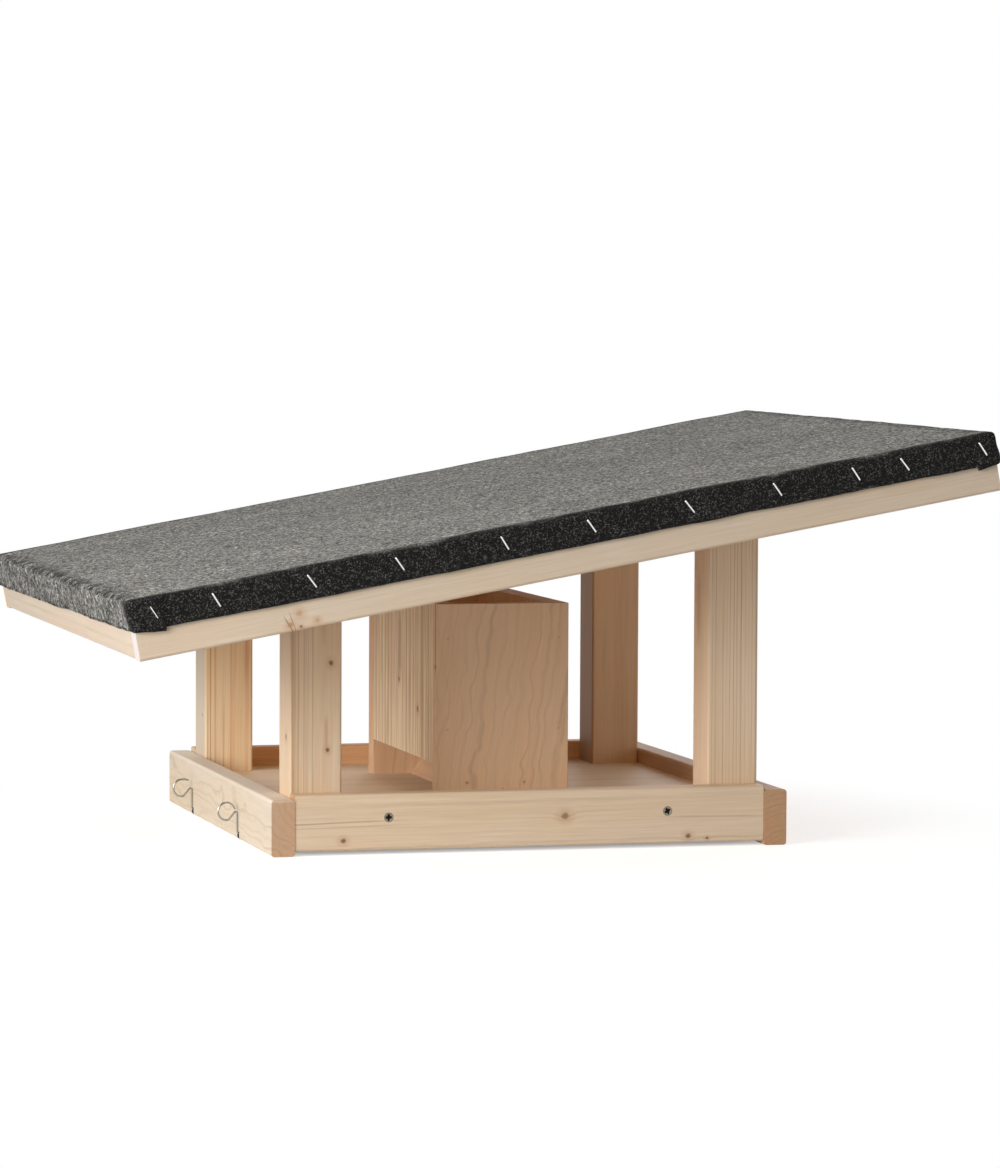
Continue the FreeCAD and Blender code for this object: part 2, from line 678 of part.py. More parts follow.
def make_felt():
    """Felt folded over the deck and down all four sides, with the corner folds hanging lower.

    The outside is a shallow block with rounded top edges, hollowed from below by the block of wood
    that it wraps.
    """
    body = doc.addObject("PartDesign::Body", "roof_felt_blank")
    half = "(dims.roof_depth / 2 + dims.felt_thick)"
    edge = "dims.board_height - dims.felt_turndown"
    block = outline(body, "XY_Plane", box_corners(
        "-dims.felt_thick", "dims.roof_length + dims.felt_thick", "-" + half, half), level=edge)
    raised = pad(body, block, "dims.felt_turndown + dims.felt_thick")
    top = size("board_height") + size("felt_thick")
    round_edges(body, raised, "dims.felt_round", lambda line: abs(line.CenterOfMass.z - top) < 0.01)
    wood = outline(body, "XY_Plane", box_corners(
        "0", "dims.roof_length", "-dims.roof_depth / 2", "dims.roof_depth / 2"),
        name="Wood", level="dims.board_height")
    pocket(body, wood, "dims.felt_turndown + 1")
    for side, near, far in (("Front", "-" + half, "-dims.roof_depth / 2"),
                            ("Rear", "dims.roof_depth / 2", half)):
        for end, low, high in (("Low", "0", "dims.flap_width"),
                               ("High", "dims.roof_length - dims.flap_width", "dims.roof_length")):
            fold = outline(body, "XY_Plane", box_corners(low, high, near, far),
                           name="Fold" + side + end, level=edge + " - dims.flap_drop")
            pad(body, fold, "dims.flap_drop + 1", name="Flap" + side + end)
    tilt_with_roof(body)
    doc.recompute()
    return seated("roof_felt", body, felt_staples_front, felt_staples_rear)


ROOF_EDGE = "dims.roof_depth / 2"
ROOF_INNER = "(dims.roof_depth / 2 - dims.board_thick)"
make_roof_board_across("roof_board_front", "-" + ROOF_EDGE, "-" + ROOF_INNER,
                       roof_frame_brads, felt_staples_front)
make_roof_board_across("roof_board_rear", ROOF_INNER, ROOF_EDGE, roof_frame_brads, felt_staples_rear)
make_roof_board_side("roof_board_left", "0", "dims.board_thick")
make_roof_board_side("roof_board_right", "dims.roof_length - dims.board_thick", "dims.roof_length")
make_deck()
make_felt()


# Check every object and sub-part, then write the sub-parts

doc.recompute()
for obj in doc.Objects:
    if any(state in ("Invalid", "Error") for state in obj.State):
        raise RuntimeError("%s is in state %s" % (obj.Label, obj.State))
for node in nodes:
    if node.Shape.isNull() or not node.Shape.isValid() or not node.Shape.Solids:
        raise RuntimeError(node.Label + " has no valid solid")

os.makedirs("parts", exist_ok=True)
whole = FreeCAD.BoundBox()
for node in nodes:
    node.Shape.exportStep("parts/%s.step" % node.Label)
    whole.add(node.Shape.BoundBox)
    print("%-22s %2d solids  %9.1f mm3" % (node.Label, len(node.Shape.Solids), node.Shape.Volume))
print("nodes %d, box x %.1f..%.1f y %.1f..%.1f z %.1f..%.1f" % (
    len(nodes), whole.XMin, whole.XMax, whole.YMin, whole.YMax, whole.ZMin, whole.ZMax))
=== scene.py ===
"""Open bird table of planed spruce under a felted lean-to roof, dressed over its solid model.

Lengths are in millimetres, in patterns too, and become metres where a mesh, a relief, a lamp or
the camera is made. The frame is the model's: +X along the front towards the high end of the roof,
+Y from front to back, +Z up.
"""
import logging
import math
from dataclasses import dataclass
from enum import Enum
from typing import Any, Sequence

import bpy
from mathutils import Matrix, Vector, noise


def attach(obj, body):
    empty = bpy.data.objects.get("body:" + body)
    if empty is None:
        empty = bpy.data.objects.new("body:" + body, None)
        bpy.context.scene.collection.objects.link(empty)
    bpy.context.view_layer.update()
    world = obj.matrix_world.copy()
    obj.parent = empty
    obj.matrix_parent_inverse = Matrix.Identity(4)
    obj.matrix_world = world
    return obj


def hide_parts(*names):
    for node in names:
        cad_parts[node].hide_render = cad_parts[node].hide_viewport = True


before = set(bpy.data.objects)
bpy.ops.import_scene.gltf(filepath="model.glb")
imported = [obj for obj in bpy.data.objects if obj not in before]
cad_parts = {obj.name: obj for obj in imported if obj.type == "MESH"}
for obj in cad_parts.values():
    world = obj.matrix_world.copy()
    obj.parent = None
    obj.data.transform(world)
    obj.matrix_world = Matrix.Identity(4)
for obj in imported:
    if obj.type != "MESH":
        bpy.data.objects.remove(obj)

Triple = tuple[float, float, float]
Four = tuple[float, float, float, float]
Face = tuple[int, ...]
Source = bpy.types.Node | bpy.types.NodeSocket  # a node stands for its first output
LOG = logging.getLogger("bird_table")
MM = 0.001
BODY = "root"

# Ways across a streak, and the ways that the photographed faces look
X_WAY, Y_WAY, Z_WAY = (1, 0, 0), (0, 1, 0), (0, 0, 1)
FRONT, LEFT = (0, -1, 0), (-1, 0, 0)

# Roof frame: its slope, its length up the slope, and x and z of its low end's lower edge
ROOF_TILT = math.radians(10.33)
ROOF_LENGTH = 702.0
ROOF_FOOT = (-339.0, 164.4)
UP_SLOPE = (math.cos(ROOF_TILT), 0.0, math.sin(ROOF_TILT))

# Staples of the felt: their places up the slope, and their lean in degrees
STAPLE_SPOTS = (16.5, 65.5, 141.0, 211.0, 295.5, 366.0, 446.5, 519.0, 584.5, 625.5, 691.0)
STAPLE_SLANTS = (24, 22, 27, 25, 22, 26, 29, 26, 24, 28, 24)


class Slot(Enum):
    """Names of material slots of the record. Nothing in this script uses them."""

    FELT = "mineral_felt"
    ZINC = "zinc_steel"
    WIRE = "hook_wire"


def linear(code: str) -> Four:
    """Turn an sRGB hex colour into linear red, green, blue and alpha.

    Args:
        code: Six hex digits after a hash sign.

    Returns:
        The colour as a shader socket takes it.
    """
    parts = [int(code[i:i + 2], 16) / 255 for i in (1, 3, 5)]
    bent = [part / 12.92 if part <= 0.04045 else ((part + 0.055) / 1.055) ** 2.4 for part in parts]
    return (bent[0], bent[1], bent[2], 1.0)


def bell(away: float, reach: float) -> float:
    """Fall off smoothly from one at nought to about a third at the reach."""
    return math.exp(-((away / reach) ** 2))


def layered(layers: Sequence[Four], first: float, second: float, seed: float = 0.0) -> float:
    """Add up layers of smooth noise.

    Args:
        layers: Each layer's height, its length along both ways, and its own seed.
        first: Place along the first way.
        second: Place along the second way.
        seed: Seed that every layer adds to its own.

    Returns:
        The sum.
    """
    return sum(height * noise.noise(Vector((first / length, second / width, own + seed)))
               for height, length, width, own in layers)


class Nodes:
    """A node tree in the making."""

    def __init__(self, tree: bpy.types.NodeTree) -> None:
        """Take over a tree and empty it.

        Args:
            tree: Node tree of a material or of the world.
        """
        self.tree = tree
        tree.nodes.clear()

    def add(self, kind: str, feeds: dict[Any, Any] | None = None, **settings: Any) -> bpy.types.Node:
        """Add a shader node with its settings, values and links.

        Args:
            kind: Blender's name of the node type, less the ShaderNode that it begins with.
            feeds: Value or source for each input, by name or number.
            **settings: Fields of the node itself.

        Returns:
            The new node.
        """
        node = self.tree.nodes.new("ShaderNode" + kind)
        for name, value in settings.items():
            setattr(node, name, value)
        for socket, value in (feeds or {}).items():
            if isinstance(value, bpy.types.Node):
                value = value.outputs[0]
            if isinstance(value, bpy.types.NodeSocket):
                self.tree.links.new(value, node.inputs[socket])
            else:
                node.inputs[socket].default_value = value
        return node

    def seen_by_eye_or_gloss(self) -> Source:
        """Tell rays of the camera, of gloss and of glass from those that light things.

        Returns:
            One for a ray that sees the surface, nought for one that lights from it.
        """
        path = self.add("LightPath").outputs
        seen = path["Is Camera Ray"]
        for name in ("Is Glossy Ray", "Is Transmission Ray"):
            seen = self.add("Math", {0: seen, 1: path[name]}, operation="MAXIMUM")
        return seen

    def coated(self, colour: Any, coats: Sequence[tuple[Source, Any]]) -> Source:
        """Lay colours over a colour, one after another.

        Args:
            colour: The lowest colour.
            coats: How much of each further colour shows, and the colour.

        Returns:
            The blended colour.
        """
        for share, coat in coats:
            colour = self.add("Mix", {0: share, 6: colour, 7: coat}, data_type="RGBA").outputs[2]
        return colour

    def tuned(self, level: Any, shades: Sequence[tuple[Source, Four]]) -> Source:
        """Multiply a level by several greys.

        Args:
            level: The level.
            shades: Each grey, with the two ends of its range and what they become.

        Returns:
            The product.
        """
        for grey, ends in shades:
            share = self.add("MapRange", {0: grey, **dict(zip((1, 2, 3, 4), ends))})
            level = self.add("Math", {0: level, 1: share}, operation="MULTIPLY")
        return level


class Finish(Nodes):
    """A material in the making, with the place in millimetres and the facing of each spot of it."""

    def __init__(self, name: str) -> None:
        """Start an empty material.

        Args:
            name: Name of the finish.
        """
        self.material = bpy.data.materials.new(name)
        self.material.use_nodes = True
        super().__init__(self.material.node_tree)
        spot = self.add("TexCoord")
        self.facing = spot.outputs["Normal"]
        self.place = self.add("Mapping", {
            "Vector": spot.outputs["Object"], "Scale": (1 / MM, 1 / MM, 1 / MM)})

    def close(self, feeds: dict[str, Any]) -> bpy.types.Material:
        """Give the material its shader.

        Args:
            feeds: Value or source for each input of the shader.

        Returns:
            The finished material.
        """
        shader = self.add("BsdfPrincipled", feeds)
        self.add("OutputMaterial", {"Surface": shader})
        return self.material

    def distance(self, way: Vector, origin: Sequence[float]) -> Source:
        """Distance in millimetres from the plane through a place, square to a way.

        Args:
            way: The way, of length one.
            origin: The place.

        Returns:
            The distance, below nought before the plane.
        """
        along = self.add("VectorMath", {0: self.place, 1: way}, operation="DOT_PRODUCT")
        return self.add("Math", {
            0: along.outputs["Value"], 1: Vector(origin).dot(way)}, operation="SUBTRACT")

    def patches(self, place: Source, size: Triple, detail: float = 3.0, rough: float = 0.6) -> Source:
        """Noise in patches of a size.

        Args:
            place: Position in millimetres.
            size: Width of the largest patches each way.
            detail: Number of finer layers.
            rough: Strength of each finer layer.

        Returns:
            The noise.
        """
        spread = self.add("Mapping", {"Vector": place, "Scale": [1 / side for side in size]})
        return self.add("TexNoise", {
            "Vector": spread, "Scale": 1.0, "Detail": detail, "Roughness": rough})


def roof_point(along: float, deep: float, high: float) -> Vector:
    """Turn a place on the sloping roof into the frame's millimetres.

    Args:
        along: Distance up the slope from the roof boards' low end.
        deep: Distance behind the roof's middle.
        high: Height above the roof boards' lower edge, square to the slope.

    Returns:
        The place.
    """
    run, _, rise = UP_SLOPE
    return Vector((ROOF_FOOT[0] + along * run - high * rise, deep,
                   ROOF_FOOT[1] + along * rise + high * run))


def make_piece(name: str, points: Sequence[Sequence[float]], faces: Sequence[Face],
               material: bpy.types.Material) -> bpy.types.Object:
    """Make a smooth piece that rides on the bird table.

    Args:
        name: Its name.
        points: Its corners in millimetres.
        faces: Its faces, as numbers of corners.
        material: Its finish.

    Returns:
        The piece.
    """
    mesh = bpy.data.meshes.new(name)
    mesh.from_pydata([Vector(point) * MM for point in points], [], faces)
    mesh.polygons.foreach_set("use_smooth", [True] * len(faces))
    mesh.materials.append(material)
    piece = bpy.data.objects.new(name, mesh)
    bpy.context.scene.collection.objects.link(piece)
    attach(piece, BODY)
    return piece


def wear(node: str, material: bpy.types.Material) -> None:
    """Give a carried-over solid its material.

    Args:
        node: Name of the solid.
        material: Its finish.
    """
    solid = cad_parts[node]
    for held in solid.material_slots:
        held.material = material
    LOG.info("%s wears %s", node, material.name)


def rounded_path(corners: Sequence[Vector], radii: Sequence[float], steps: int = 7) -> list[Vector]:
    """Round the corners of a bent wire's path.

    Args:
        corners: The path's ends and corners.
        radii: Radius of each inner corner.
        steps: Points on each bend.

    Returns:
        Points along the path.
    """
    path = [corners[0]]
    for before, corner, after, radius in zip(corners, corners[1:], corners[2:], radii):
        back, ahead = (before - corner).normalized(), (after - corner).normalized()
        half = back.angle(ahead) / 2
        middle = corner + (back + ahead).normalized() * (radius / math.sin(half))
        start, end = (corner + way * (radius / math.tan(half)) - middle for way in (back, ahead))
        turn = start.angle(end)
        for step in range(steps + 1):
            share = step / steps
            path.append(middle + (start * math.sin((1 - share) * turn) + end * math.sin(share * turn))
                        / math.sin(turn))
    path.append(corners[-1])
    return path


def sweep(path: Sequence[Vector], section: Sequence[tuple[float, float]], across: Vector,
          start: int = 0) -> tuple[list[Vector], list[Face]]:
    """Carry a section along a path that stays in one plane, and close both ends.

    Args:
        path: Points of the path.
        section: Outline of the section: distance across the path's plane, and in it.
        across: Direction square to the path's plane.
        start: Number of corners that other parts of the mesh already have.

    Returns:
        Corners and faces of the solid.
    """
    corners: list[Vector] = []
    faces: list[Face] = []
    sides = len(section)
    for number, point in enumerate(path):
        ahead = path[min(number + 1, len(path) - 1)] - path[max(number - 1, 0)]
        inward = across.cross(ahead).normalized()
        corners += [point + across * wide + inward * deep for wide, deep in section]
        if number:
            low = start + (number - 1) * sides
            faces += [(low + side, low + (side + 1) % sides, low + sides + (side + 1) % sides,
                       low + sides + side) for side in range(sides)]
    faces.append(tuple(range(start + sides - 1, start - 1, -1)))
    faces.append(tuple(range(start + len(corners) - sides, start + len(corners))))
    return corners, faces


def oval(width: float, height: float, sides: int = 12) -> list[tuple[float, float]]:
    """Outline of a round or oval wire.

    Args:
        width: Its width.
        height: Its height.
        sides: Corners of the outline.

    Returns:
        The outline.
    """
    turns = [2 * math.pi * side / sides for side in range(sides)]
    return [(width / 2 * math.cos(turn), height / 2 * math.sin(turn)) for turn in turns]


@dataclass(frozen=True)
class Knot:
    """Branch knot on a face."""

    place: Triple
    branch: Triple  # way that the branch points
    radius: float
    bark: str = "#8a5c38"
    flow: float = 1.0  # how far the rings swell round it, in radii


@dataclass(frozen=True)
class Streak:
    """Line of red or resinous wood along the grain, or a band of painted light or shade."""

    place: Triple
    across: Triple  # way across the line
    width: float
    tone: str
    share: float = 0.6  # strength at its middle
    span: float = 0.0  # how far up and down the grain it fades out; nought for a whole board


@dataclass(frozen=True)
class Spruce:
    """Planed spruce, sawn from a log whose rings are worked out around its pith.

    Planing leaves it matt, with pale early wood, darker lines of late wood that come and go, fine
    fibres along the grain and warmer clouds. The same rings show as stripes or arches on the faces
    and as arcs on sawn ends.
    """

    name: str
    grain: Triple  # way along the log
    pith: Triple  # a place on the pith
    early: str
    late: str
    warm: str  # early wood in the warmer clouds
    ring: float = 3.2  # growth of one year
    start: float = 0.35  # share of a year after which its line begins
    waver: float = 0.9  # how much the rings bend along the log
    jog: float = 0.0  # how far they wander off in patches
    least: float = 0.15  # strength of the weakest year's line
    faint: float = 0.2  # strength of a line where it fades
    strip: float = 6.25  # width of the strips in which lines fade
    fibre: float = 0.1  # contrast of the fibres
    sawn: str = "#dcc4ad"  # what open fibres leave of the light on sawn ends
    rough: float = 0.62
    ior: float = 1.45
    relief: float = 0.12  # height of late wood and fibres
    knots: tuple[Knot, ...] = ()
    streaks: tuple[Streak, ...] = ()
    notches: tuple[Triple, ...] = ()  # middles of notches, whose sides are painted near-black as shade

    def build(self) -> bpy.types.Material:
        """Make the material."""
        return SpruceWork(self).build()


class SpruceWork(Finish):
    """Nodes of one board's spruce.

    Sizes of its patterns are given across the grain twice and along it. A wood fibre is far too
    fine to show, so fibres are drawn a millimetre wide.
    """

    clouds: Triple = (35.71, 35.71, 200.0)
    fibres: Triple = (1.0526, 1.0526, 50.0)
    bends: Triple = (20.0, 20.0, 166.7)
    ripples: Triple = (4.0, 4.0, 50.0)
    jogs: Triple = (33.33, 33.33, 33.33)
    strip_length: float = 166.7
    drift: float = 2.3  # years after which the growth of a year changes
    tint: Triple = (0.75, 1.0, 1.2)  # contrast of the fibres in red, green and blue
    # Warm wood round a knot, and its dark middle: where they begin and are full, in radii, and strength
    halo: tuple[float, float, float, str] = (2.8, 1.0, 0.34, "#c08a5c")
    heart: Triple = (1.2, 0.7, 0.85)
    swell: float = 2.2  # reach of the rings' swelling round a knot, in radii
    knot_shape: Triple = (1.0, 0.08, 0.82)  # a knot is long along its branch and along the grain
    notch_half: Triple = (12.0, 3.9, 6.4)
    # painted shade: near-black laid on the sides of the notches
    notch_shade: str = "#1c140d"

    def __init__(self, wood: Spruce) -> None:
        """Start the material, with the place of each spot in the log, Z along the pith.

        Args:
            wood: The board's wood.
        """
        super().__init__(wood.name)
        self.wood = wood
        self.grain = Vector(wood.grain).normalized()
        turn = Vector(wood.grain).to_track_quat("Z", "X").to_euler()
        self.log = self.add("Mapping", {
            "Vector": self.place, "Location": wood.pith, "Rotation": turn}, vector_type="TEXTURE")
        self.band = self.patches(self.log, (wood.strip, wood.strip, self.strip_length))
        self.fibre = self.patches(self.log, self.fibres)
        self.ends = self.sawn_ends()

    def build(self) -> bpy.types.Material:
        """Lay the wood's colours over each other.

        Returns:
            The finished material.
        """
        wood = self.wood
        late = self.late_wood()
        glow = self.add("MapRange", {0: self.patches(self.log, self.clouds), 1: 0.35, 2: 0.68})
        colour = self.coated(linear(wood.early), ((glow, linear(wood.warm)), (late, linear(wood.late))))
        for grey, reach in ((self.fibre, wood.fibre), (self.band, wood.fibre * 0.7)):
            shade = self.add("MapRange", {
                6: grey, 7: (0.25, 0.25, 0.25), 8: (0.75, 0.75, 0.75),
                9: [1.0 - reach * part for part in self.tint],
                10: [1.0 + 0.8 * reach * part for part in self.tint]}, data_type="FLOAT_VECTOR")
            colour = self.add("VectorMath", {0: colour, 1: shade.outputs[1]}, operation="MULTIPLY")
        coats = [(self.streak_share(streak), linear(streak.tone)) for streak in wood.streaks]
        for knot in wood.knots:
            away = self.knot_distance(knot)
            for reach, edge, depth, tone in (self.halo, (*self.heart, knot.bark)):
                dark = self.add("MapRange", {
                    0: away, 1: knot.radius * reach, 2: knot.radius * edge, 3: 0.0, 4: depth})
                coats.append((dark, linear(tone)))
        colour = self.add("Mix", {0: self.ends, 6: self.coated(colour, coats), 7: linear(wood.sawn)},
                          data_type="RGBA", blend_type="MULTIPLY").outputs[2]
        # painted shade: the notches' sides are coated near-black
        colour = self.coated(colour, [
            (self.notch_share(notch), linear(self.notch_shade)) for notch in wood.notches])
        height = self.add("Math", {0: late, 1: 0.4, 2: self.fibre}, operation="MULTIPLY_ADD")
        bump = self.add("Bump", {"Strength": 0.3, "Distance": wood.relief * MM, "Height": height})
        return self.close({"Base Color": colour, "Normal": bump,
                           "Roughness": wood.rough, "IOR": wood.ior})

    def late_wood(self) -> Source:
        """Share of late wood: one line a year, weaker in some years, in some strips and on sawn ends.

        Returns:
            The share, from 0 to 1.
        """
        wood = self.wood
        count = self.add("Math", {0: self.ring_radius(), 1: wood.ring}, operation="DIVIDE")
        phase, year = (self.add("Math", {0: count}, operation=part) for part in ("FRACT", "FLOOR"))
        dice = self.add("TexWhiteNoise", {"W": year}, noise_dimensions="1D")
        line = self.add("ValToRGB", {0: phase})
        ramp = line.color_ramp
        ramp.interpolation = "EASE"
        ramp.elements[0].color = (0, 0, 0, 1)
        ramp.elements[1].color = (0, 0, 0, 1)
        for where, level in ((wood.start, 0.0), ((1 + wood.start) / 2, 1.0)):
            ramp.elements.new(where).color = (level, level, level, 1)
        return self.tuned(line, (
            (self.band, (0.4, 0.62, wood.faint, 1.0)),
            (self.ends, (0.0, 1.0, 1.0, 0.8)),
            (dice, (0.1, 0.9, wood.least, 1.0))))

    def ring_radius(self) -> Source:
        """Distance from the pith in millimetres, wavering, and swelling round each knot.

        Returns:
            The distance.
        """
        wood = self.wood
        flat = self.add("VectorMath", {0: self.log, 1: (1, 1, 0)}, operation="MULTIPLY")
        radius = self.add("VectorMath", {0: flat}, operation="LENGTH").outputs["Value"]
        for size, reach in ((self.bends, wood.waver * 3.0), (self.ripples, wood.waver * 0.35),
                            (self.jogs, wood.jog)):
            if reach:
                wave = self.patches(self.log, size, 2.0, 0.5)
                radius = self.add("Math", {0: wave, 1: reach, 2: radius}, operation="MULTIPLY_ADD")
        years = self.add("Math", {0: radius, 1: wood.ring * self.drift}, operation="DIVIDE")
        drift = self.add("TexNoise", {"W": years, "Scale": 1.0, "Detail": 1.0}, noise_dimensions="1D")
        radius = self.add("Math", {0: drift, 1: wood.ring, 2: radius}, operation="MULTIPLY_ADD")
        for knot in wood.knots:
            swelling = self.knot_distance(knot)
            for step, number in (("DIVIDE", knot.radius * self.swell), ("POWER", 2.0),
                                 ("MULTIPLY", -1.0), ("EXPONENT", 0.0)):
                swelling = self.add("Math", {0: swelling, 1: number}, operation=step)
            radius = self.add("Math", {0: swelling, 1: knot.flow * knot.radius, 2: radius},
                              operation="MULTIPLY_ADD")
        return radius

    def sawn_ends(self) -> Source:
        """Tell sawn ends, whose open fibres swallow light and blur the rings, from planed faces.

        Returns:
            One on an end, nought on the long faces.
        """
        along = self.add("VectorMath", {0: self.facing, 1: self.grain}, operation="DOT_PRODUCT")
        size = self.add("Math", {0: along.outputs["Value"]}, operation="ABSOLUTE")
        return self.add("MapRange", {0: size, 1: 0.7, 2: 0.95})

    def knot_distance(self, knot: Knot) -> Source:
        """Distance in millimetres from a knot's ragged axis.

        Args:
            knot: The knot.

        Returns:
            The distance.
        """
        side = self.grain.cross(Vector(knot.branch).normalized()).normalized()
        turn = Matrix((side, self.grain.cross(side).normalized(), self.grain)).transposed().to_euler()
        local = self.add("Mapping", {
            "Vector": self.place, "Location": knot.place, "Rotation": turn}, vector_type="TEXTURE")
        flat = self.add("VectorMath", {0: local, 1: self.knot_shape}, operation="MULTIPLY")
        length = self.add("VectorMath", {0: flat}, operation="LENGTH")
        ragged = self.add("TexNoise", {"Vector": local, "Scale": 0.35})
        return self.add("Math", {
            0: ragged, 1: knot.radius * 0.5, 2: length.outputs["Value"]},
            operation="MULTIPLY_ADD")

    def streak_share(self, streak: Streak) -> Source:
        """Strength of a streak, which wavers with the strips.

        Args:
            streak: The streak.

        Returns:
            The share of its colour, from 0 to 1.
        """
        near = self.distance(Vector(streak.across).normalized(), streak.place)
        bent = self.add("Math", {0: self.band, 1: streak.width, 2: near}, operation="MULTIPLY_ADD")
        size = self.add("Math", {0: bent}, operation="ABSOLUTE")
        share = self.add("MapRange", {
            0: size, 1: 0.0, 2: streak.width, 3: streak.share, 4: 0.0},
            interpolation_type="SMOOTHSTEP")
        if streak.span:
            past = self.distance(self.grain, streak.place)
            away = self.add("Math", {0: past}, operation="ABSOLUTE")
            share = self.tuned(share, ((away, (streak.span * 0.5, streak.span, 1.0, 0.0)),))
        return share

    def notch_share(self, notch: Triple) -> Source:
        """Find the sides of a notch, which are painted near-black as the shade inside it.

        Args:
            notch: Middle of the notch.

        Returns:
            One inside the notch, nought elsewhere.
        """
        inside = self.add("Mapping", {
            "Vector": self.place, "Location": notch, "Scale": self.notch_half}, vector_type="TEXTURE")
        size = self.add("VectorMath", {0: inside}, operation="ABSOLUTE")
        split = self.add("SeparateXYZ", {0: size}).outputs
        most = self.add("Math", {0: split[0], 1: split[1]}, operation="MAXIMUM")
        most = self.add("Math", {0: most, 1: split[2]}, operation="MAXIMUM")
        return self.add("Math", {0: most, 1: 1.0}, operation="LESS_THAN")


class MineralFelt(Finish):
    """Bitumen felt dressed with crushed slate.

    Pale, grey and dark grains in black bitumen give a salt and pepper grey. Where the felt was bent
    down over the front and the back, most grains were lost and the bitumen shows. Real grit is half
    a millimetre to a millimetre wide. It is drawn a little coarser, because it would blur to an even
    grey.
    """

    grit: float = 1.3
    dust: float = 0.8  # motes left on bare bitumen
    lain: Triple = (1.0, 0.7, 1.0)  # grains and clumps are longer from front to back
    clump: Triple = (3.6, 3.6, 3.6)  # grains that share a grey
    weather: Triple = (70.0, 70.0, 70.0)  # paler and darker parts of the roof
    blotch: Triple = (13.0, 13.0, 13.0)  # patches that the bend rubbed bare
    fray: Triple = (45.0, 45.0, 45.0)  # bays of the edge that the grains end in
    scratch: Triple = (3.0, 3.0, 25.0)  # scratches down the turn-downs at the ends
    slate: str = "#9c9a94"
    bitumen: str = "#131211"
    spark: str = "#a3a19b"
    fold: float = 318.0  # edge of the grains from the roof's middle
    middle: float = 351.0  # half the roof's length
    rough: float = 0.92
    gloss: float = 0.2

    def build(self) -> bpy.types.Material:
        """Lay grains over bitumen.

        Returns:
            The finished material.
        """
        lain = self.add("Mapping", {"Vector": self.place, "Scale": self.lain})
        grains = self.add("TexVoronoi", {"Vector": lain, "Scale": 1 / self.grit})
        pick = self.add("SeparateColor", {0: grains.outputs["Color"]})
        clumps = self.patches(lain, self.clump, 4.0, 0.7)
        scuffs, wall = self.end_wear()
        level = self.tuned(1.0, (
            (pick, (0.0, 1.0, 0.25, 1.75)),
            (clumps, (0.32, 0.68, 0.1, 1.9)),
            (self.patches(self.place, self.weather, 3.0, 0.7), (0.3, 0.7, 0.84, 1.16)),
            (scuffs, (0.0, 1.0, 1.0, 0.18)),
            # painted shade: the turn-downs at the ends darker than the top, with paler scratches
            (wall, (-1.0, 1.0, 1.5, 0.72))))
        dressed = self.add("VectorMath", {0: linear(self.slate)[:3], 1: level}, operation="MULTIPLY")
        dust = self.add("TexVoronoi", {"Vector": self.place, "Scale": 1 / self.dust})
        mote = self.add("SeparateColor", {0: dust.outputs["Color"]})
        chance = self.add("Math", {0: clumps, 1: 0.6, 2: mote}, operation="MULTIPLY_ADD")
        lit = self.add("MapRange", {0: chance, 1: 1.0, 2: 1.45, 3: 0.0, 4: 0.45})
        colour = self.coated(linear(self.bitumen), (
            (lit, linear(self.spark)), (self.cover(clumps), dressed)))
        bump = self.add("Bump", {
            "Strength": 0.8, "Distance": 0.5 * MM, "Height": grains.outputs["Distance"]}, invert=True)
        return self.close({"Base Color": colour, "Normal": bump, "Roughness": self.rough,
                           "Specular IOR Level": self.gloss})

    def end_wear(self) -> tuple[Source, Source]:
        """Wear of the turn-downs at the roof's low and high end.

        Returns:
            One where the bend rubbed the grains off, and one that darkens the turn-downs against the top as
            painted shade, with paler scratches down them.
        """
        aside = self.add("SeparateXYZ", {0: self.facing})
        steep = self.add("Math", {0: aside}, operation="ABSOLUTE")
        past = self.distance(Vector(UP_SLOPE), roof_point(self.middle, 0.0, 0.0))
        reach = self.add("Math", {0: past}, operation="ABSOLUTE")
        rub = self.add("MapRange", {
            0: self.patches(self.place, self.blotch, 4.0, 0.7), 1: 0.58, 2: 0.47, 3: 0.0, 4: 1.0})
        rub = self.tuned(rub, (
            (reach, (self.middle - 16.0, self.middle - 2.0, 0.0, 1.0)),
            (steep, (0.88, 1.0, 1.0, 0.4))))
        wall = self.add("MapRange", {0: steep, 1: 0.3, 2: 0.8})
        marks = self.add("MapRange", {
            0: self.patches(self.place, self.scratch, 2.0, 0.7), 1: 0.58, 2: 0.68, 3: 1.0, 4: -1.0})
        # painted shade: the turn-downs darkened against the top, real scratches paler
        hang = self.add("Mix", {0: wall, 2: -0.28, 3: marks})
        return rub, hang

    def cover(self, clumps: Source) -> Source:
        """Share of the surface that grains cover, lost from the front and rear folds downwards.

        Args:
            clumps: Noise of a few millimetres that frays the edge.

        Returns:
            The share, from 0 to 1.
        """
        depth = self.add("SeparateXYZ", {0: self.place}).outputs[1]
        size = self.add("Math", {0: depth}, operation="ABSOLUTE")
        edge = self.fold
        for grey, reach in ((clumps, 14.0), (self.patches(self.place, self.fray, 2.0, 0.7), 34.0)):
            size = self.add("Math", {0: grey, 1: reach, 2: size}, operation="MULTIPLY_ADD")
            edge += reach / 2
        aside = self.add("SeparateXYZ", {0: self.facing}).outputs[1]
        steep = self.add("Math", {0: aside}, operation="ABSOLUTE")
        return self.tuned(1.0, (
            (size, (edge - 6.0, edge + 6.0, 1.0, 0.0)),
            (steep, (0.6, 0.97, 1.0, 0.0))))


